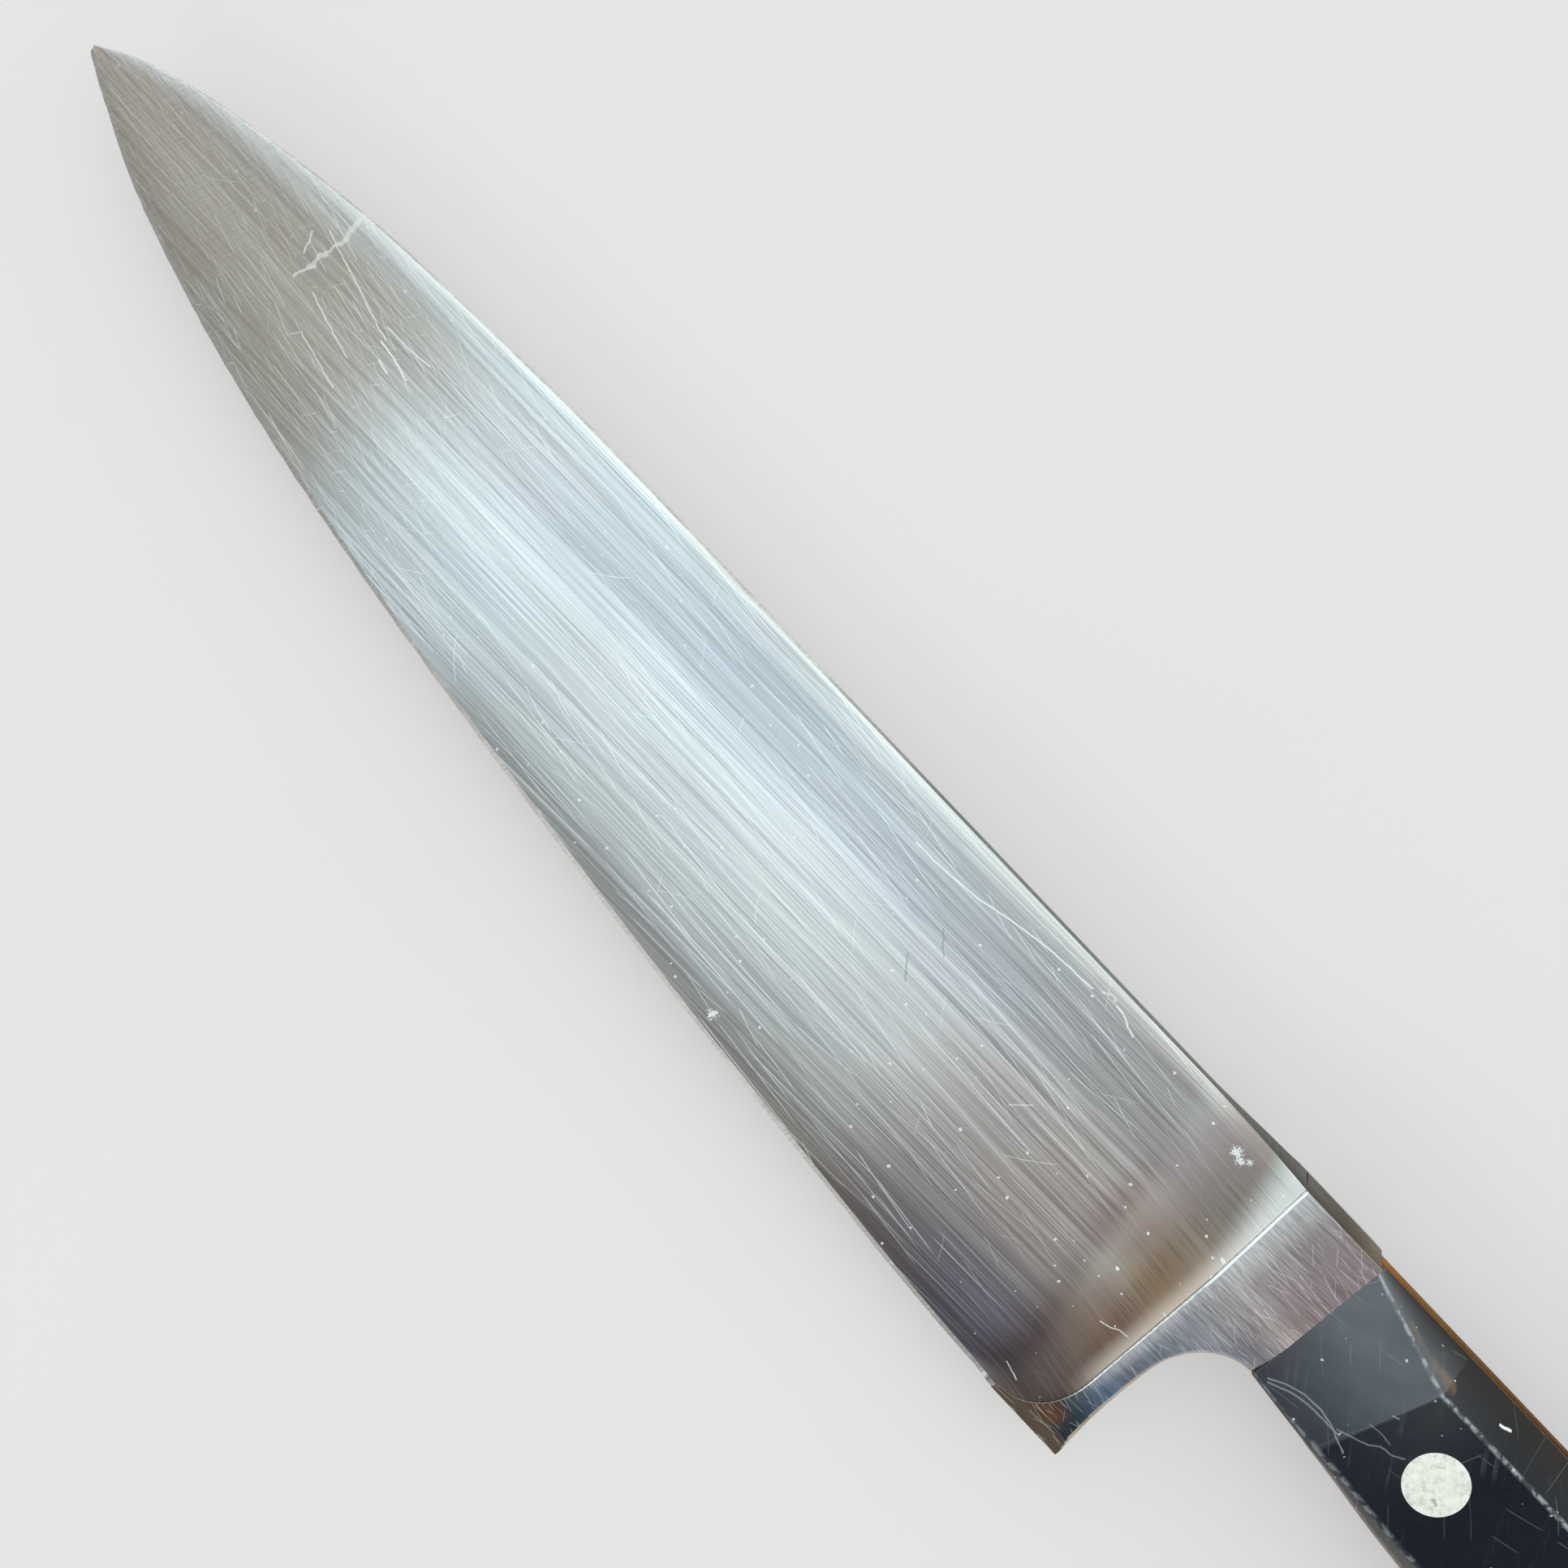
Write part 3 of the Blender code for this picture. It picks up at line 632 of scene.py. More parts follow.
def round_edges(piece, width):
    bevel = piece.modifiers.new("eased_edges", "BEVEL")
    bevel.limit_method = "WEIGHT"
    bevel.width = width
    bevel.segments = 3
    bevel.use_clamp_overlap = True
    bevel.material = RIM
    bevel.harden_normals = False


# ---- shader graphs ----


class Graph:
    """Builds one node tree. Its methods take and return sockets, or take plain numbers instead."""

    def __init__(self, tree):
        self.tree = tree

    def add(self, kind, *values, output=0, **settings):
        node = self.tree.nodes.new("ShaderNode" + kind)
        for name, value in settings.items():
            setattr(node, name, value)
        for slot, value in enumerate(values):
            self.put(node.inputs[slot], value)
        return node.outputs[output]

    def put(self, slot, value):
        if isinstance(value, bpy.types.NodeSocket):
            self.tree.links.new(value, slot)
        elif value is not None:
            slot.default_value = value

    def math(self, operation, *values):
        return self.add("Math", *values, operation=operation)

    def spread(self, value, low, high, to_low=0.0, to_high=1.0, smooth=True):
        """Maps value from low..high to to_low..to_high, held at both ends."""
        kind = "SMOOTHSTEP" if smooth else "LINEAR"
        return self.add("MapRange", value, low, high, to_low, to_high, interpolation_type=kind)

    def mix(self, share, first, second, blend_type="MIX"):
        """Mixes two colours."""
        node = self.tree.nodes.new("ShaderNodeMix")
        node.data_type, node.blend_type = "RGBA", blend_type
        for slot, value in ((0, share), (6, first), (7, second)):
            self.put(node.inputs[slot], (*value, 1) if isinstance(value, tuple) else value)
        return node.outputs[2]

    def lerp(self, share, first, second):
        """Mixes two numbers."""
        return self.add("Mix", share, None, first, second, data_type="FLOAT")

    def combined(self, operation, values):
        """Combines a generator's values as each is made, so that few are held at once."""
        result = None
        for value in values:
            result = value if result is None else self.math(operation, result, value)
        return result

    def product(self, *values):
        return self.combined("MULTIPLY", values)

    def most(self, *values):
        return self.combined("MAXIMUM", values)

    def total(self, *values):
        return self.combined("ADD", values)

    def parts(self, vector):
        """The three numbers of a vector."""
        return self.add("SeparateXYZ", vector).node.outputs

    def noise(self, vector, detail=2.0, scale=1.0):
        return self.add("TexNoise", vector, None, scale, detail)

    def ramp(self, value, stops):
        """A colour ramp through (position, colour) stops."""
        node = self.tree.nodes.new("ShaderNodeValToRGB")
        self.put(node.inputs[0], value)
        elements = node.color_ramp.elements
        while len(elements) < len(stops):
            elements.new(0.5)
        for element, (position, colour) in zip(elements, stops):
            element.position = position
            element.color = (*colour, 1)
        return node.outputs[0]


class Finish(Graph):
    """A Principled material whose patterns lie in the knife's own coordinates, in metres."""

    def __init__(self, name):
        self.material = bpy.data.materials.new(name)
        self.material.use_nodes = True
        super().__init__(self.material.node_tree)
        self.shader = self.tree.nodes["Principled BSDF"]
        self.place = self.add("TexCoord", output=3)
        self.x, self.y, self.z = self.parts(self.place)

    def set(self, **values):
        for name, value in values.items():
            self.put(self.shader.inputs[name.replace("_", " ").title()], value)

    def colour(self, value):
        self.put(self.shader.inputs["Base Color"], (*value, 1) if isinstance(value, tuple) else value)

    def grooves_along_u(self):
        """Spreads the highlight across the brushing, which runs along the UV map's U."""
        tangent = self.add("Tangent", direction_type="UV_MAP", uv_map="along")
        self.put(self.shader.inputs["Tangent"], tangent)

    def bumps(self, height, distance, strength=1.0):
        node = self.tree.nodes.new("ShaderNodeBump")
        node.inputs["Strength"].default_value = strength
        node.inputs["Distance"].default_value = distance
        self.put(node.inputs["Height"], height)
        self.put(self.shader.inputs["Normal"], node.outputs[0])

    def stretched(self, turn, length, width, seed, depth=0.01):
        """Coordinates turned by so many degrees, then 1 for each length, width and depth."""
        turned = self.add("VectorRotate", self.place, rotation_type="Z_AXIS")
        turned.node.inputs["Angle"].default_value = math.radians(-turn)
        scaled = self.add("VectorMath", turned, (1 / length, 1 / width, 1 / depth), operation="MULTIPLY")
        return self.add("VectorMath", scaled, (seed * 7.31, seed * 3.17, seed * 5.71), operation="ADD")

    def streaks(self, turn, length, width, seed, detail=1.0):
        return self.noise(self.stretched(turn, length, width, seed), detail)

    def hairlines(self, turn, length, spacing, thickness, seed, share):
        """Thin, slightly bent scratches: one at a random place in a share of the cells of a turned grid."""
        place = self.stretched(turn, length, spacing, seed)
        side = self.product(self.near_side(), 37.0)
        cells = self.add("VectorMath", place, (1.0, 1.0, 0.0), operation="MULTIPLY")
        cells = self.add("VectorMath", cells, self.add("CombineXYZ", side, side, None), operation="ADD")
        cell = self.add("VectorMath", cells, operation="FLOOR")
        inside = self.add("VectorMath", cells, operation="FRACTION")
        chance = self.add("TexWhiteNoise", cell, noise_dimensions="3D", output=0)
        r, g, b = self.parts(self.add("TexWhiteNoise", cell, noise_dimensions="3D", output=1))
        where_x, where_y, _ = self.parts(inside)
        along = self.math("SUBTRACT", where_x, 0.5)
        bend = self.product(self.math("SUBTRACT", g, 0.5), self.product(along, along))
        tilt = self.product(self.math("SUBTRACT", b, 0.5), along)
        start = self.spread(r, 0.0, 1.0, 0.3, 0.7, smooth=False)
        middle = self.total(start, self.product(bend, 0.9), self.product(tilt, 0.4))
        across = self.math("ABSOLUTE", self.math("SUBTRACT", where_y, middle))
        line = self.spread(across, 0.3 * thickness / spacing, 0.7 * thickness / spacing, 1.0, 0.0)
        reach = self.spread(b, 0.0, 1.0, 0.15, 0.46, smooth=False)
        faded = self.spread(self.math("SUBTRACT", reach, self.math("ABSOLUTE", along)), 0.0, 0.10)
        strength = self.spread(g, 0.0, 1.0, 0.35, 1.0, smooth=False)
        return self.product(line, faded, strength, self.math("LESS_THAN", chance, share))

    def near_path(self, points, width, wobble=0.0):
        """1 on a polyline of (x, y) points in millimetres, falling to 0 at width metres from it."""
        place = self.place
        if wobble:
            shift = self.noise(self.stretched(0, 0.0012, 0.0012, points[0][0]), 2.0)
            shift = self.product(self.math("SUBTRACT", shift, 0.5), wobble)
            place = self.add("VectorMath", place, shift, operation="ADD")
        flat = self.add("VectorMath", place, (1.0, 1.0, 0.0), operation="MULTIPLY")
        nearest = None
        for start, end in zip(points, points[1:]):
            first = Vector((*start, 0.0)) / 1000
            step = Vector((*end, 0.0)) / 1000 - first
            offset = self.add("VectorMath", flat, first, operation="SUBTRACT")
            unit = step / step.length_squared
            along = self.add("VectorMath", offset, unit, operation="DOT_PRODUCT", output=1)
            along = self.add("Clamp", along)
            reached = self.add("VectorMath", step, operation="SCALE")
            self.put(reached.node.inputs["Scale"], along)
            distance = self.add("VectorMath", offset, reached, operation="DISTANCE", output=1)
            nearest = distance if nearest is None else self.math("MINIMUM", nearest, distance)
        return self.spread(nearest, 0.35 * width, width, 1.0, 0.0)

    def near_point(self, x, y, radius, ragged=0.5, seed=1.0):
        """1 inside a ragged spot at (x, y) in millimetres, 0 outside it."""
        flat = self.add("VectorMath", self.place, (1.0, 1.0, 0.0), operation="MULTIPLY")
        distance = self.add("VectorMath", flat, (x / 1000, y / 1000, 0.0), operation="DISTANCE", output=1)
        rough = self.noise(self.stretched(0, 0.4 * radius, 0.4 * radius, seed), 3.0)
        reach = self.product(self.spread(rough, 0.3, 0.7, 1 - ragged, 1 + ragged), radius)
        ratio = self.math("DIVIDE", distance, reach)
        return self.spread(ratio, 0.8, 1.1, 1.0, 0.0)

    def attribute(self, name):
        return self.add("Attribute", attribute_name=name, output=2)

    def near_side(self):
        """1 on the side that faces up, 0 on the one that lies down."""
        return self.math("GREATER_THAN", self.z, 0.0)


# ---- steel ----


def brushed_steel(name, tint, turn, groove, streak, calm=None, length=1.0):
    """Steel ground along one direction, in fine grooves and broader streaks. calm is where they fade."""
    m = Finish(name)
    m.set(metallic=1.0, anisotropic=0.75, anisotropic_rotation=GROOVE_TURN)
    m.grooves_along_u()
    fine = m.streaks(turn, 0.026 * length, 0.00014, 1.0)
    medium = m.streaks(turn + 0.5, 0.045 * length, 0.00025, 2.0)
    broad = m.streaks(turn - 0.3, 0.110 * length, 0.0012, 3.0)
    m.cloud = m.streaks(turn, 0.030, 0.009, 4.0, 2.0)
    m.grain = m.total(m.product(fine, 0.56), m.product(medium, 0.34), m.product(broad, 0.10))
    shade = m.spread(m.grain, 0.36, 0.60, 1 - groove, 1 + 0.4 * groove, smooth=False)
    shade = m.product(shade, m.spread(broad, 0.3, 0.7, 1 - streak, 1 + 0.5 * streak))
    if calm is not None:
        shade = m.lerp(calm(m), shade, 1.0)
    m.tint = m.mix(1.0, tint, shade, "MULTIPLY")
    m.rough = m.total(m.spread(medium, 0.3, 0.7, 0.24, 0.33), m.product(m.cloud, 0.06))
    m.scratch = None
    return m


def scratched(m, layers, colour, strength, seed=10):
    """Lays hairline scratches on the steel. Each layer is (turn, length, spacing, thickness, share)."""
    lines = m.combined("MAXIMUM", (
        m.hairlines(turn, length / 1000, spacing / 1000, thickness / 1000, seed + k, share)
        for k, (turn, length, spacing, thickness, share) in enumerate(layers)
    ))
    painted(m, m.product(lines, strength), colour)
    m.rough = m.math("ADD", m.rough, m.product(lines, strength, 0.2))
    m.scratch = m.scratch or lines


def finish_steel(m, bump_height=0.000005):
    m.colour(m.tint)
    m.set(roughness=m.rough)
    height = m.math("SUBTRACT", m.grain, m.product(m.scratch, 0.8))
    m.bumps(height, bump_height, 0.6)
    return m.material


def tinted(m, share, colour):
    """Multiplies the steel's colour where share is 1."""
    m.tint = m.mix(share, m.tint, colour, "MULTIPLY")


def painted(m, share, colour):
    """Covers the steel's colour where share is 1."""
    m.tint = m.mix(share, m.tint, colour)


def band(m, value, start, full, end_full, end):
    """1 between full and end_full, falling to 0 at start and end."""
    return m.product(m.spread(value, start, full), m.spread(value, end_full, end, 1.0, 0.0))


def between_stops(m, value, stops):
    """Rises from 0 to 1 between two stops, or is a band between four."""
    return m.spread(value, *stops) if len(stops) == 2 else band(m, value, *stops)


def painted_light_tints(m, rows, beside, unit):
    """Multiplies in each row's painted light. The rows' second stops are for beside, in units of 1 / unit.
    """
    for along, across, colour in rows:
        shares = [between_stops(m, m.x, [stop / 1000 for stop in along])] if along else []
        shares += [between_stops(m, beside, [stop / unit for stop in across])] if across else []
        tinted(m, m.product(*shares), colour)


def near_ridge(m, down, start, end):
    """Rises from 0 to 1 between two distances along the knife, which lean back as the ridge does."""
    return m.spread(m.math("SUBTRACT", m.x, m.product(down, RIDGE_SLANT)), start, end)


def placed_marks(m, rows):
    return m.combined("MAXIMUM", (
        m.product(m.near_path(path, width / 1000, wobble / 1000), strength)
        for path, width, wobble, strength in rows
    ))


def calm_ends(m):
    """The grooves fade where the tip is polished and in the fillet."""
    return m.most(m.spread(m.x, 0.075, 0.035, 0.0, 0.80), m.spread(m.x, 0.178, 0.188, 0.0, 0.85))


def fillet_painted_reflections(m, down):
    """Painted reflections: bronze in the fillet's hollow, pale along the ridge, silver in its upper corner.
    """
    bronze = m.product(band(m, m.x, 0.184, 0.191, 0.198, 0.202), m.spread(down, 0.20, 0.50))
    tinted(m, m.product(bronze, m.spread(m.cloud, 0.2, 0.5, 0.75, 1.0)), (0.72, 0.62, 0.46))
    pale = m.product(near_ridge(m, down, 0.1915, 0.1941), m.spread(down, 0.90, 0.70), 0.7)
    painted(m, pale, (0.70, 0.66, 0.59))
    silver = m.spread(m.math("SUBTRACT", m.x, m.product(down, 0.010)), 0.1885, 0.1925)
    painted(m, m.product(silver, m.spread(down, 0.42, 0.06)), (0.84, 0.91, 0.93))


def polished_tip(m, tip):
    """Crossed haze where the tip has been polished by use."""
    steep = m.streaks(64, 0.0035, 0.00022, 21)
    flat = m.streaks(-16, 0.0060, 0.00020, 22)
    worn = m.product(tip, m.spread(m.math("ADD", steep, flat), 0.8, 1.2))
    tinted(m, m.product(worn, 0.5), (0.80, 0.77, 0.70))


def blade_scratches(m):
    most_of_it = m.product(m.spread(m.x, 0.05, 0.08, 0.20, 0.50), m.spread(m.x, 0.172, 0.188, 1.0, 0.08))
    scratched(m, BLADE_SCRATCHES, (0.94, 0.97, 0.98), most_of_it)
    towards_tip = m.product(m.spread(m.x, 0.088, 0.060), m.spread(m.x, 0.018, 0.040, 0.30, 1.0), 0.42)
    scratched(m, TIP_SCRATCHES, (0.92, 0.94, 0.95), towards_tip, 40)


def blade_marks(m):
    """The scratches, specks and nicks of the upper side. It returns where the light ones are."""
    light = placed_marks(m, BLADE_MARKS)
    specks = m.noise(m.stretched(0, 0.0008, 0.0008, 31), 0.0)
    light = m.most(light, m.product(m.spread(specks, 0.815, 0.84), m.spread(m.x, 0.02, 0.18, 0.25, 0.8)))
    for x, y, radius in NICKS:
        light = m.most(light, m.product(m.near_point(x, y, radius, 0.8, 5.0), 0.8))
    light = m.product(light, m.near_side())
    dark = m.combined("MAXIMUM", (m.near_path(path, 0.00012, 0.0005) for path in DARK_SCRATCHES))
    painted(m, m.product(light, 0.85), (0.93, 0.96, 0.97))
    painted(m, m.product(dark, m.near_side(), 0.5), (0.20, 0.24, 0.26))
    return light


def blade_side_material():
    m = brushed_steel("ground_blade", (0.66, 0.655, 0.64), 0.6, 0.34, 0.05, calm_ends)
    down = m.attribute("down")
    tip = m.spread(m.x, 0.058, 0.020)
    # Painted shade: the lower blade darker, where its reflection falls off.
    low = m.product(m.spread(down, 0.52, 0.97), m.spread(m.x, 0.030, 0.150, 0.40, 1.0))
    tinted(m, low, (0.50, 0.485, 0.475))
    painted_light_tints(m, BLADE_PAINTED_LIGHT, down, 1)
    # A painted lilac tinge in the reflection, mottled by the cloud.
    lilac = m.product(band(m, m.x, 0.050, 0.080, 0.150, 0.175), band(m, down, 0.10, 0.22, 0.34, 0.50))
    tinted(m, m.product(lilac, m.cloud), (0.96, 0.97, 1.05))
    fillet_painted_reflections(m, down)
    polished_tip(m, tip)
    blade_scratches(m)
    light = blade_marks(m)
    m.rough = m.total(m.rough, m.product(light, 0.25), m.product(tip, 0.07))
    return finish_steel(m)


def bolster_material():
    m = brushed_steel("bolster_steel", (0.62, 0.60, 0.60), 3, 0.14, 0.06, None, 0.12)
    painted_light_tints(m, BOLSTER_PAINTED_LIGHT, m.y, 1000)
    # A pale painted highlight just behind the ridge, above the heel.
    pale = near_ridge(m, m.attribute("down"), 0.1957, 0.1941)
    painted(m, m.product(pale, m.spread(m.y, -0.037, -0.030), 0.5), (0.86, 0.88, 0.88))
    # Mottled dark brown towards the heel's bottom, and darker brown along its very bottom.
    dark_mottle = m.spread(m.noise(m.stretched(0, 0.0016, 0.0016, 43), 3.0), 0.35, 0.6, 0.5, 1.0)
    heel = m.product(m.spread(m.y, -0.0385, -0.0405), m.spread(m.x, 0.1985, 0.1960))
    painted(m, m.product(heel, dark_mottle), (0.16, 0.085, 0.05))
    painted(m, m.spread(m.y, -0.0420, -0.0430), (0.15, 0.115, 0.08))
    scratched(m, BOLSTER_SCRATCHES, (0.90, 0.90, 0.92), 0.42)
    return finish_steel(m)


def rubbed_and_highlit_edge_material():
    """Eased edges, bright from use and painted highlights: cool along the blade, warm at the handle."""
    m = Finish("rubbed_edge_painted_highlight")
    m.set(metallic=1.0)
    wear = m.noise(m.stretched(0, 0.003, 0.001, 65), 2.0)
    cool = m.mix(m.spread(wear, 0.30, 0.5), (0.86, 0.91, 0.90), (0.96, 1.0, 0.99))
    colour = m.mix(m.spread(m.x, 0.1975, 0.2040), cool, (0.95, 0.90, 0.74))
    colour = m.mix(m.spread(m.y, -0.012, -0.0165), colour, cool)
    heel = m.product(m.spread(m.y, -0.034, -0.040), m.spread(m.x, 0.17, 0.19))
    m.colour(m.mix(heel, colour, (0.30, 0.26, 0.20)))
    m.set(roughness=m.spread(wear, 0.3, 0.7, 0.18, 0.30))
    m.bumps(wear, 0.00002, 0.4)
    return m.material


def reflection_painted_face_material(name, grazing, stops, length):
    """A narrow face ground across, painted with reflections and shade. Stops: (x in millimetres, colour).
    """
    m = Finish(name)
    m.set(metallic=1.0)
    m.shader.inputs["Specular Tint"].default_value = (*grazing, 1)
    across = m.noise(m.stretched(0, 0.00035, 0.006, 51, 0.006), 2.0)
    blotch = m.noise(m.stretched(0, length, length, 52, length), 3.0)
    first, last = stops[0][0], stops[-1][0]
    along = m.spread(m.x, first / 1000, last / 1000, smooth=False)
    colour = m.ramp(along, [((x - first) / (last - first), shade) for x, shade in stops])
    # The choil's band, a painted beige reflection.
    colour = m.mix(m.spread(m.y, -0.0185, -0.0200), colour, CHOIL_PAINTED_REFLECTION)
    shade = m.product(m.spread(across, 0.3, 0.7, 0.84, 1.06), m.spread(blotch, 0.3, 0.7, 0.84, 1.08))
    m.colour(m.mix(1.0, colour, shade, "MULTIPLY"))
    m.set(roughness=m.spread(blotch, 0.3, 0.7, 0.28, 0.42))
    m.bumps(across, 0.00001, 0.4)
    return m.material


def bevel_material():
    m = Finish("sharpened_edge")
    m.set(metallic=1.0)
    strokes = m.noise(m.stretched(74, 0.003, 0.00030, 61), 1.0)
    wear = m.noise(m.stretched(0, 0.004, 0.001, 62), 2.0)
    m.colour(m.ramp(m.math("ADD", m.product(strokes, 0.6), m.product(wear, 0.4)), [
        (0.32, (0.25, 0.25, 0.24)),
        (0.56, (0.30, 0.30, 0.29)),
        (0.70, (0.42, 0.43, 0.42)),
    ]))
    m.set(roughness=m.spread(strokes, 0.3, 0.7, 0.20, 0.36))
    m.bumps(strokes, 0.00002, 0.5)
    return m.material


# ---- handle ----


def plastic_colours(m, facet, dull_and_sheen):
    """Black; greyer where duller and painted with sheen; warm facets are a painted reflection of the tang.
    """
    base = m.mix(dull_and_sheen, (0.0035, 0.0056, 0.0105), (0.128, 0.138, 0.152))
    base = m.mix(m.math("MINIMUM", facet, 1.0), base, (0.009, 0.0055, 0.003))
    return m.mix(m.spread(facet, 1.4, 2.0), base, (0.085, 0.070, 0.055))


def plastic_hairlines(m):
    return m.most(
        m.hairlines(-40, 0.009, 0.0030, 0.00010, 74, 0.40),
        m.hairlines(15, 0.007, 0.0035, 0.00010, 75, 0.35),
        m.hairlines(70, 0.010, 0.0035, 0.00009, 76, 0.30),
    )


def plastic_material():
    """Black moulded plastic, polished by hands on the flats, with whitened, nicked edges."""
    m = Finish("black_acetal")
    m.shader.inputs["Specular IOR Level"].default_value = 0.22
    fine = m.noise(m.stretched(0, 0.0005, 0.0005, 71, 0.0005), 2.0)
    cloud = m.noise(m.stretched(35, 0.010, 0.004, 72), 3.0)
    rub = m.streaks(-52, 0.010, 0.0007, 73, 2.0)
    wear, facet, ramp = (m.attribute(name) for name in SCALE_ATTRIBUTES)
    # Greyer on the ramp and towards the top: partly a duller, worn surface and partly a painted sheen.
    dull_and_sheen = m.product(
        m.most(ramp, m.spread(m.x, 0.230, 0.2205, 0.0, 0.24)),
        m.spread(cloud, 0.25, 0.70, 0.75, 1.0),
        m.spread(m.y, -0.018, -0.009, 0.35, 1.0),
        m.spread(m.y, -0.0115, -0.0055, 0.62, 0.87),
        m.spread(m.x, 0.2205, 0.2100, 0.78, 1.0),
    )
    base = plastic_colours(m, facet, dull_and_sheen)
    scuffs = m.product(m.spread(rub, 0.58, 0.75), m.spread(cloud, 0.4, 0.7))
    base = m.mix(m.product(scuffs, 0.10), base, (0.30, 0.31, 0.33))
    hair = plastic_hairlines(m)
    base = m.mix(m.product(hair, 0.16), base, (0.5, 0.52, 0.55))
    marks = placed_marks(m, HANDLE_MARKS)
    nick = m.near_path(HANDLE_NICK, 0.00018, 0.0004)
    specks = m.spread(m.noise(m.stretched(0, 0.0007, 0.0007, 77, 0.0007), 0.0), 0.825, 0.85)
    chips = m.noise(m.stretched(0, 0.0011, 0.0011, 78, 0.0011), 3.0)
    rubbed = m.product(wear, m.spread(chips, 0.42, 0.56, 0.10, 1.0))
    # A painted golden reflection of the tang on the facet.
    golden = m.product(m.near_path(GOLDEN_REFLECTION_PATH, 0.0009, 0.0002), facet)
    base = m.mix(m.product(golden, 0.75), base, (0.48, 0.29, 0.12))
    base = m.mix(m.product(marks, m.near_side(), 0.30), base, (0.50, 0.54, 0.58))
    base = m.mix(m.product(rubbed, 0.62), base, (0.48, 0.50, 0.51))
    pale = m.most(m.product(specks, 0.6), m.product(nick, m.near_side()))
    m.colour(m.mix(pale, base, (0.78, 0.78, 0.76)))
    rough = m.total(m.spread(fine, 0.3, 0.7, 0.30, 0.38), m.product(dull_and_sheen, 0.10), m.product(scuffs, 0.12))
    m.set(roughness=m.total(rough, m.product(rubbed, 0.2)))
    layers = ((fine, 0.4), (hair, -0.6), (marks, -0.8), (rubbed, -1.0))
    m.bumps(m.total(*(m.product(*layer) for layer in layers)), 0.000012, 0.5)
    return m.material


def rivet_material():
    """Pale, rubbed and slightly mottled rivet metal."""
    m = Finish("rivet_metal")
    mottle = m.noise(m.stretched(0, 0.0007, 0.0007, 81, 0.0007), 3.0)
    fine = m.noise(m.stretched(0, 0.0002, 0.0002, 82, 0.0002), 1.0)
    brush = m.streaks(-47, 0.004, 0.00018, 83)
    colour = m.ramp(m.total(m.product(mottle, 0.6), m.product(fine, 0.3), m.product(brush, 0.1)), [
        (0.34, (0.60, 0.585, 0.51)),
        (0.48, (0.77, 0.76, 0.69)),
        (0.66, (0.84, 0.83, 0.78)),
    ])
    pit = m.near_path(RIVET_PIT, 0.0003, 0.0004)
    m.colour(m.mix(m.product(pit, m.near_side(), 0.7), colour, (0.30, 0.31, 0.30)))
    m.set(metallic=0.35, roughness=m.spread(mottle, 0.3, 0.7, 0.42, 0.60))
    m.bumps(m.math("ADD", mottle, m.product(fine, 0.5)), 0.00005, 0.5)
    return m.material


def floor_material():
    m = Finish("pale_floor")
    cloud = m.noise(m.place, 3.0, 9.0)
    m.colour(m.mix(m.spread(cloud, 0.3, 0.7), FLOOR_SHADE, tuple(1.02 * c for c in FLOOR_SHADE)))
    m.set(roughness=0.75, emission_strength=FLOOR_GLOW)
    m.shader.inputs["Emission Color"].default_value = (1.0, 0.99, 0.985, 1)
    return m.material


# ---- handle shapes ----


def handle_places():
    """Places along the handle, closer together on the ramp, at its creases and round the butt."""
    ramp_end = SEAM + FRONT_RAMP
    corner = TOTAL_LENGTH - BUTT_CORNER
    front = list(np.linspace(SEAM, ramp_end, 14))
    middle = list(np.linspace(ramp_end, corner, HANDLE_SECTIONS))[1:]
    creased = [SEAM + CREASE] + front[1:-1] + [ramp_end - CREASE, ramp_end, ramp_end + CREASE]
    butt = [corner + BUTT_CORNER * math.sin(a) for a in np.linspace(0, math.radians(86), 16)[1:]]
    return [float(x) for x in front[:1] + creased + middle + butt]


def slant_at(x):
    """How far the section at x leans forward at its lower edge, to follow the ramp's crease."""
    rise = clamp((x - SEAM) / FRONT_RAMP)
    fall = 1 - smooth_step((x - SEAM - FRONT_RAMP) / 0.030)
    return RAMP_SLANT * rise * fall


def fillet_corner(before, corner, after, radius, steps):
    """Points that round one corner of a polygon."""
    a, b, c = Vector(before), Vector(corner), Vector(after)
    reach = min(radius, 0.45 * (a - b).length, 0.45 * (c - b).length)
    start, end = b + (a - b).normalized() * reach, b + (c - b).normalized() * reach
    points = []
    for k in range(steps + 1):
        t = k / steps
        points.append(start * (1 - t) ** 2 + b * 2 * t * (1 - t) + end * t * t)
    return points


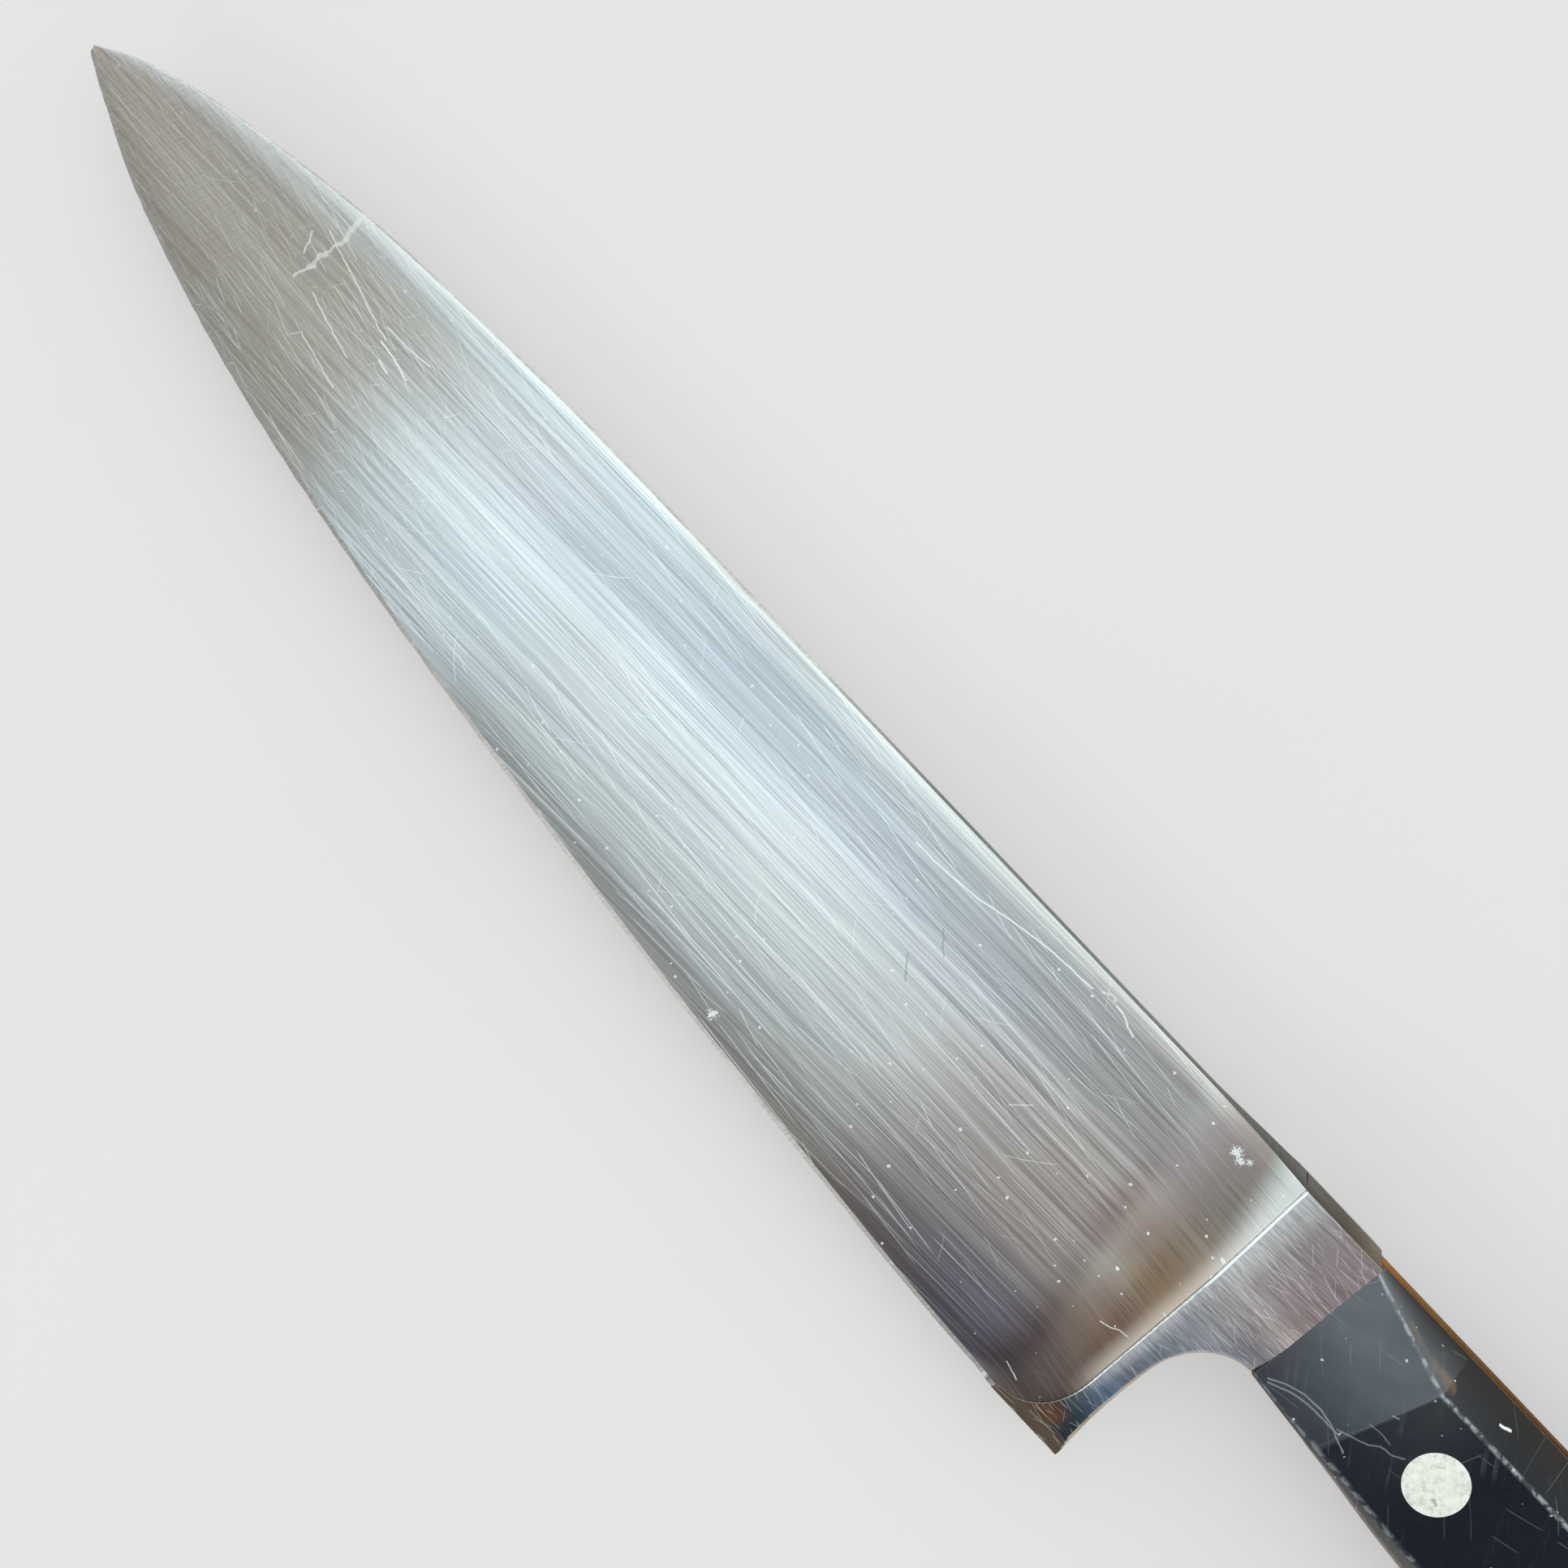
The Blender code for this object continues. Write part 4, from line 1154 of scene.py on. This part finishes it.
def scale_ring(station, side):
    """One section of a scale, as points round it and the corner of each; its lower side leans forward."""
    lean = slant_at(station)
    top, bottom = handle_edges(station)
    share = clamp((station - SEAM) / FRONT_RAMP)
    past = station - (TOTAL_LENGTH - BUTT_CORNER)
    shrink = END_SHRINK * (1 - math.sqrt(1 - clamp(past / BUTT_CORNER) ** 2)) if past > 0 else 0.0
    thickness = blend(BOLSTER_THICKNESS / 2, HALF_HANDLE, share) - shrink
    chamfer = blend(CHAMFER_LAND, TOP_CHAMFER, share**0.9)
    low_share = smooth_step((station - SEAM - 0.005) / (0.30 * HANDLE_LENGTH))
    lower = blend(CHAMFER_LAND, LOWER_CHAMFER, low_share)
    back = HALF_TANG + SEAM_GLUE
    land = back + CHAMFER_LAND
    low_z = blend(thickness - CHAMFER_LAND, land + CHAMFER_LAND, low_share)
    corners = [
        ((top, back), 0.00006, 2),
        ((top, land), 0.0007, 5),
        ((top - chamfer, thickness), 0.00045, 6),
        ((bottom + lower, thickness), 0.0006, 6),
        ((bottom, low_z), 0.0012, 6),
        ((bottom, back), 0.00006, 2),
    ]
    ring = []
    count = len(corners)
    for k, (corner, radius, steps) in enumerate(corners):
        before, after = corners[k - 1][0], corners[(k + 1) % count][0]
        points = fillet_corner(before, corner, after, radius, steps)
        ring += [(point, k, 1 - abs(2 * i / steps - 1)) for i, point in enumerate(points)]
    placed = []
    for (y, z), corner, inside in ring:
        f = clamp((top - y) / (top - bottom))
        placed.append(((station - lean * f, y, side * z), corner, inside))
    return placed


def scale_attributes(station, ring):
    """For each point of a section: how rubbed it is, which facet it's on, and whether on the ramp."""
    share = clamp((SEAM + FRONT_RAMP - station) / CREASE + 1)
    rows = []
    for (_, y, _), corner, inside in ring:
        rubbed = {2: 1.0, 3: 0.55, 4: 0.25}.get(corner, 0.0) * inside
        facet = {0: 1.0, 1: 1.0, 4: 2.0, 5: 2.0}.get(corner, 0.0)
        rows.append((rubbed, facet, share))
    return rows


def loft(rings):
    mesh = bmesh.new()
    loops = [[mesh.verts.new(point) for point in ring] for ring in rings]
    count = len(rings[0])
    for first, second in zip(loops, loops[1:]):
        for k in range(count):
            after = (k + 1) % count
            mesh.faces.new((first[k], first[after], second[after], second[k]))
    mesh.faces.new(reversed(loops[0]))
    mesh.faces.new(loops[-1])
    bmesh.ops.recalc_face_normals(mesh, faces=mesh.faces)
    return mesh


def make_scale(name, side, material):
    places = handle_places()
    rings = [scale_ring(x, side) for x in places]
    mesh = loft([[point for point, _, _ in ring] for ring in rings])
    piece = finish_mesh(name, mesh, [material])
    rows = [row for x, ring in zip(places, rings) for row in scale_attributes(x, ring)]
    for k, attribute in enumerate(SCALE_ATTRIBUTES):
        made = piece.data.attributes.new(attribute, "FLOAT", "POINT")
        made.data.foreach_set("value", [row[k] for row in rows])
    piece.data.set_sharp_from_angle(angle=CRISP_ANGLE)
    return piece


def tang_ring(station):
    top, bottom = handle_edges(station)
    if station < SEAM:
        top, bottom = -0.0006, -BOLSTER_DEPTH + 0.001
    corners = [(top, HALF_TANG), (bottom, HALF_TANG), (bottom, -HALF_TANG), (top, -HALF_TANG)]
    ring = []
    for k, corner in enumerate(corners):
        ring += fillet_corner(corners[k - 1], corner, corners[(k + 1) % 4], TANG_EASE, 2)
    return [(station, y, z) for y, z in ring]


def make_tang(materials):
    places = [SEAM - TANG_INSIDE, SEAM - 0.0001] + handle_places()
    mesh = loft([tang_ring(x) for x in places])
    piece = finish_mesh("tang", mesh, materials)
    piece.data.set_sharp_from_angle(angle=CRISP_ANGLE)
    return piece


# ---- rivets ----


def turned(name, profile, centre, materials):
    mesh = bmesh.new()
    verts = [mesh.verts.new((radius, 0.0, z)) for radius, z in profile]
    edges = [mesh.edges.new(pair) for pair in zip(verts, verts[1:])]
    turn = {"cent": (0, 0, 0), "axis": (0, 0, 1), "angle": math.radians(360), "steps": RIVET_STEPS}
    bmesh.ops.spin(mesh, geom=verts + edges, use_duplicate=False, **turn)
    bmesh.ops.remove_doubles(mesh, verts=mesh.verts, dist=1e-7)
    bmesh.ops.recalc_face_normals(mesh, faces=mesh.faces)
    for vert in mesh.verts:
        vert.co += centre
    piece = finish_mesh(name, mesh, materials)
    piece.data.set_sharp_from_angle(angle=CRISP_ANGLE)
    return piece


def rivet_profile(node, face, inward):
    """A head with an eased rim, and its shank, from the CAD node's own sizes."""
    low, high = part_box(node)
    radius = (high.x - low.x) / 2
    shank = SLEEVE_RADIUS if "hollow" in node else PIN_RADIUS
    under = face - inward * RIVET_HEAD_HEIGHT
    end = face - inward * ((high.z - low.z) - RIVET_EASE)
    rim = []
    for angle in np.linspace(0, math.radians(90), 5):
        out, drop = RIVET_EASE * math.sin(angle), RIVET_EASE * (1 - math.cos(angle))
        rim.append((radius - RIVET_EASE + out, face - inward * drop))
    dome = [(0.0, face + inward * RIVET_DOME), (radius * 0.5, face + inward * RIVET_DOME * 2 / 3)]
    return dome + rim + [(radius, under), (shank, under), (shank, end), (0.0, end)]


def make_rivets(materials):
    pieces = []
    for place in ("front", "middle", "rear"):
        for half, inward in (("solid", 1), ("hollow", -1)):
            node = f"{place}_rivet_{half}_half"
            low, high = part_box(node)
            centre = (low + high) / 2 - DATUM
            centre.z = 0
            profile = rivet_profile(node, inward * HALF_HANDLE, inward)
            piece = turned(node.replace("half", "piece"), profile, centre, materials)
            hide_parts(node)
            pieces.append(piece)
    return pieces


# ---- stage ----


def make_camera():
    back = Vector((math.tan(LEAN_TO_HANDLE), math.tan(LEAN_TO_SPINE), 1.0)).normalized()
    right = (Vector((1, 0, 0)) - back * back.x).normalized()
    up = back.cross(right)
    turn = Matrix.Rotation(CAMERA_ROLL, 3, back)
    data = bpy.data.cameras.new("camera")
    data.lens = FOCAL_LENGTH
    data.sensor_width = SENSOR
    data.clip_start = 0.01
    camera = in_scene("camera", data)
    axes = Matrix((turn @ right, turn @ up, back)).transposed()
    place = DATUM + Vector(CAMERA_TARGET) + back * CAMERA_DISTANCE
    camera.matrix_world = Matrix.Translation(place) @ axes.to_4x4()
    bpy.context.scene.camera = camera


def make_floor():
    mesh = bmesh.new()
    bmesh.ops.create_grid(mesh, x_segments=2, y_segments=2, size=FLOOR_HALF)
    data = bpy.data.meshes.new("floor")
    mesh.to_mesh(data)
    mesh.free()
    data.materials.append(floor_material())
    floor = in_scene("floor", data)


def area_light(name, place, target, width, height, power, colour):
    data = bpy.data.lights.new(name, "AREA")
    data.shape = "RECTANGLE"
    data.size, data.size_y = width, height
    data.energy = power
    data.color = colour
    light = in_scene(name, data)
    light.location = place
    light.rotation_euler = (Vector(target) - Vector(place)).to_track_quat("-Z", "Y").to_euler()


def make_world():
    """A soft room: pale walls, a wide cool window overhead, and dimmer ceiling either side of it."""
    world = bpy.data.worlds.new("studio")
    bpy.context.scene.world = world
    world.use_nodes = True
    g = Graph(world.node_tree)
    dx, dy, dz = g.parts(g.add("TexCoord"))
    height = g.math("MAXIMUM", dz, 0.05)
    u = g.math("DIVIDE", dx, height)
    v = g.math("DIVIDE", dy, height)
    lengthwise = g.ramp(g.spread(u, -RAMP_REACH, RAMP_REACH, smooth=False), [
        ((u_stop + RAMP_REACH) / (2 * RAMP_REACH), colour) for u_stop, colour in CEILING
    ])
    crosswise = g.ramp(g.spread(v, -RAMP_REACH, RAMP_REACH, smooth=False), [
        ((v_stop + RAMP_REACH) / (2 * RAMP_REACH), (shade,) * 3) for v_stop, shade in CEILING_ACROSS
    ])
    ceiling = g.mix(1.0, lengthwise, crosswise, "MULTIPLY")
    ceiling = g.mix(g.spread(v, *SPINE_WALL), ceiling, SPINE_WALL_COLOUR)
    out = g.math("SQRT", g.total(g.product(u, u), g.product(v, v)))
    walls = g.product(g.spread(out, *WALLS_FROM), g.spread(v, 0.0, 0.5, 1.0, 0.0))
    g.put(g.tree.nodes["Background"].inputs[0], g.mix(walls, ceiling, WALL_COLOUR))


def main():
    make_camera()
    spine = reflection_painted_face_material("spine_steel", (0.86, 0.84, 0.80), SPINE_PAINTED_REFLECTIONS, 0.007)
    gold = reflection_painted_face_material("tang_steel", (0.60, 0.38, 0.20), TANG_PAINTED_REFLECTIONS, 0.005)
    steels = [blade_side_material(), bolster_material(), spine, bevel_material(), rubbed_and_highlit_edge_material()]
    blade = make_blade(steels)
    tang = make_tang([gold])
    for piece in (blade, tang):
        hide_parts("blade_forging")
    pieces = [blade, tang]
    plastic = plastic_material()
    for name, side in (("left", 1), ("right", -1)):
        scale = make_scale(f"{name}_scale", side, plastic)
        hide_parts(f"handle_scale_{name}")
        pieces.append(scale)
    pieces += make_rivets([rivet_material()])
    for piece in pieces:
        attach(piece, "root")

    make_floor()
    make_world()
    for name, place, size, power, colour in LIGHTS:
        area_light(name, DATUM + Vector(place), DATUM + Vector(CAMERA_TARGET), *size, power, colour)
    bpy.context.scene.view_settings.view_transform = "Standard"


main()
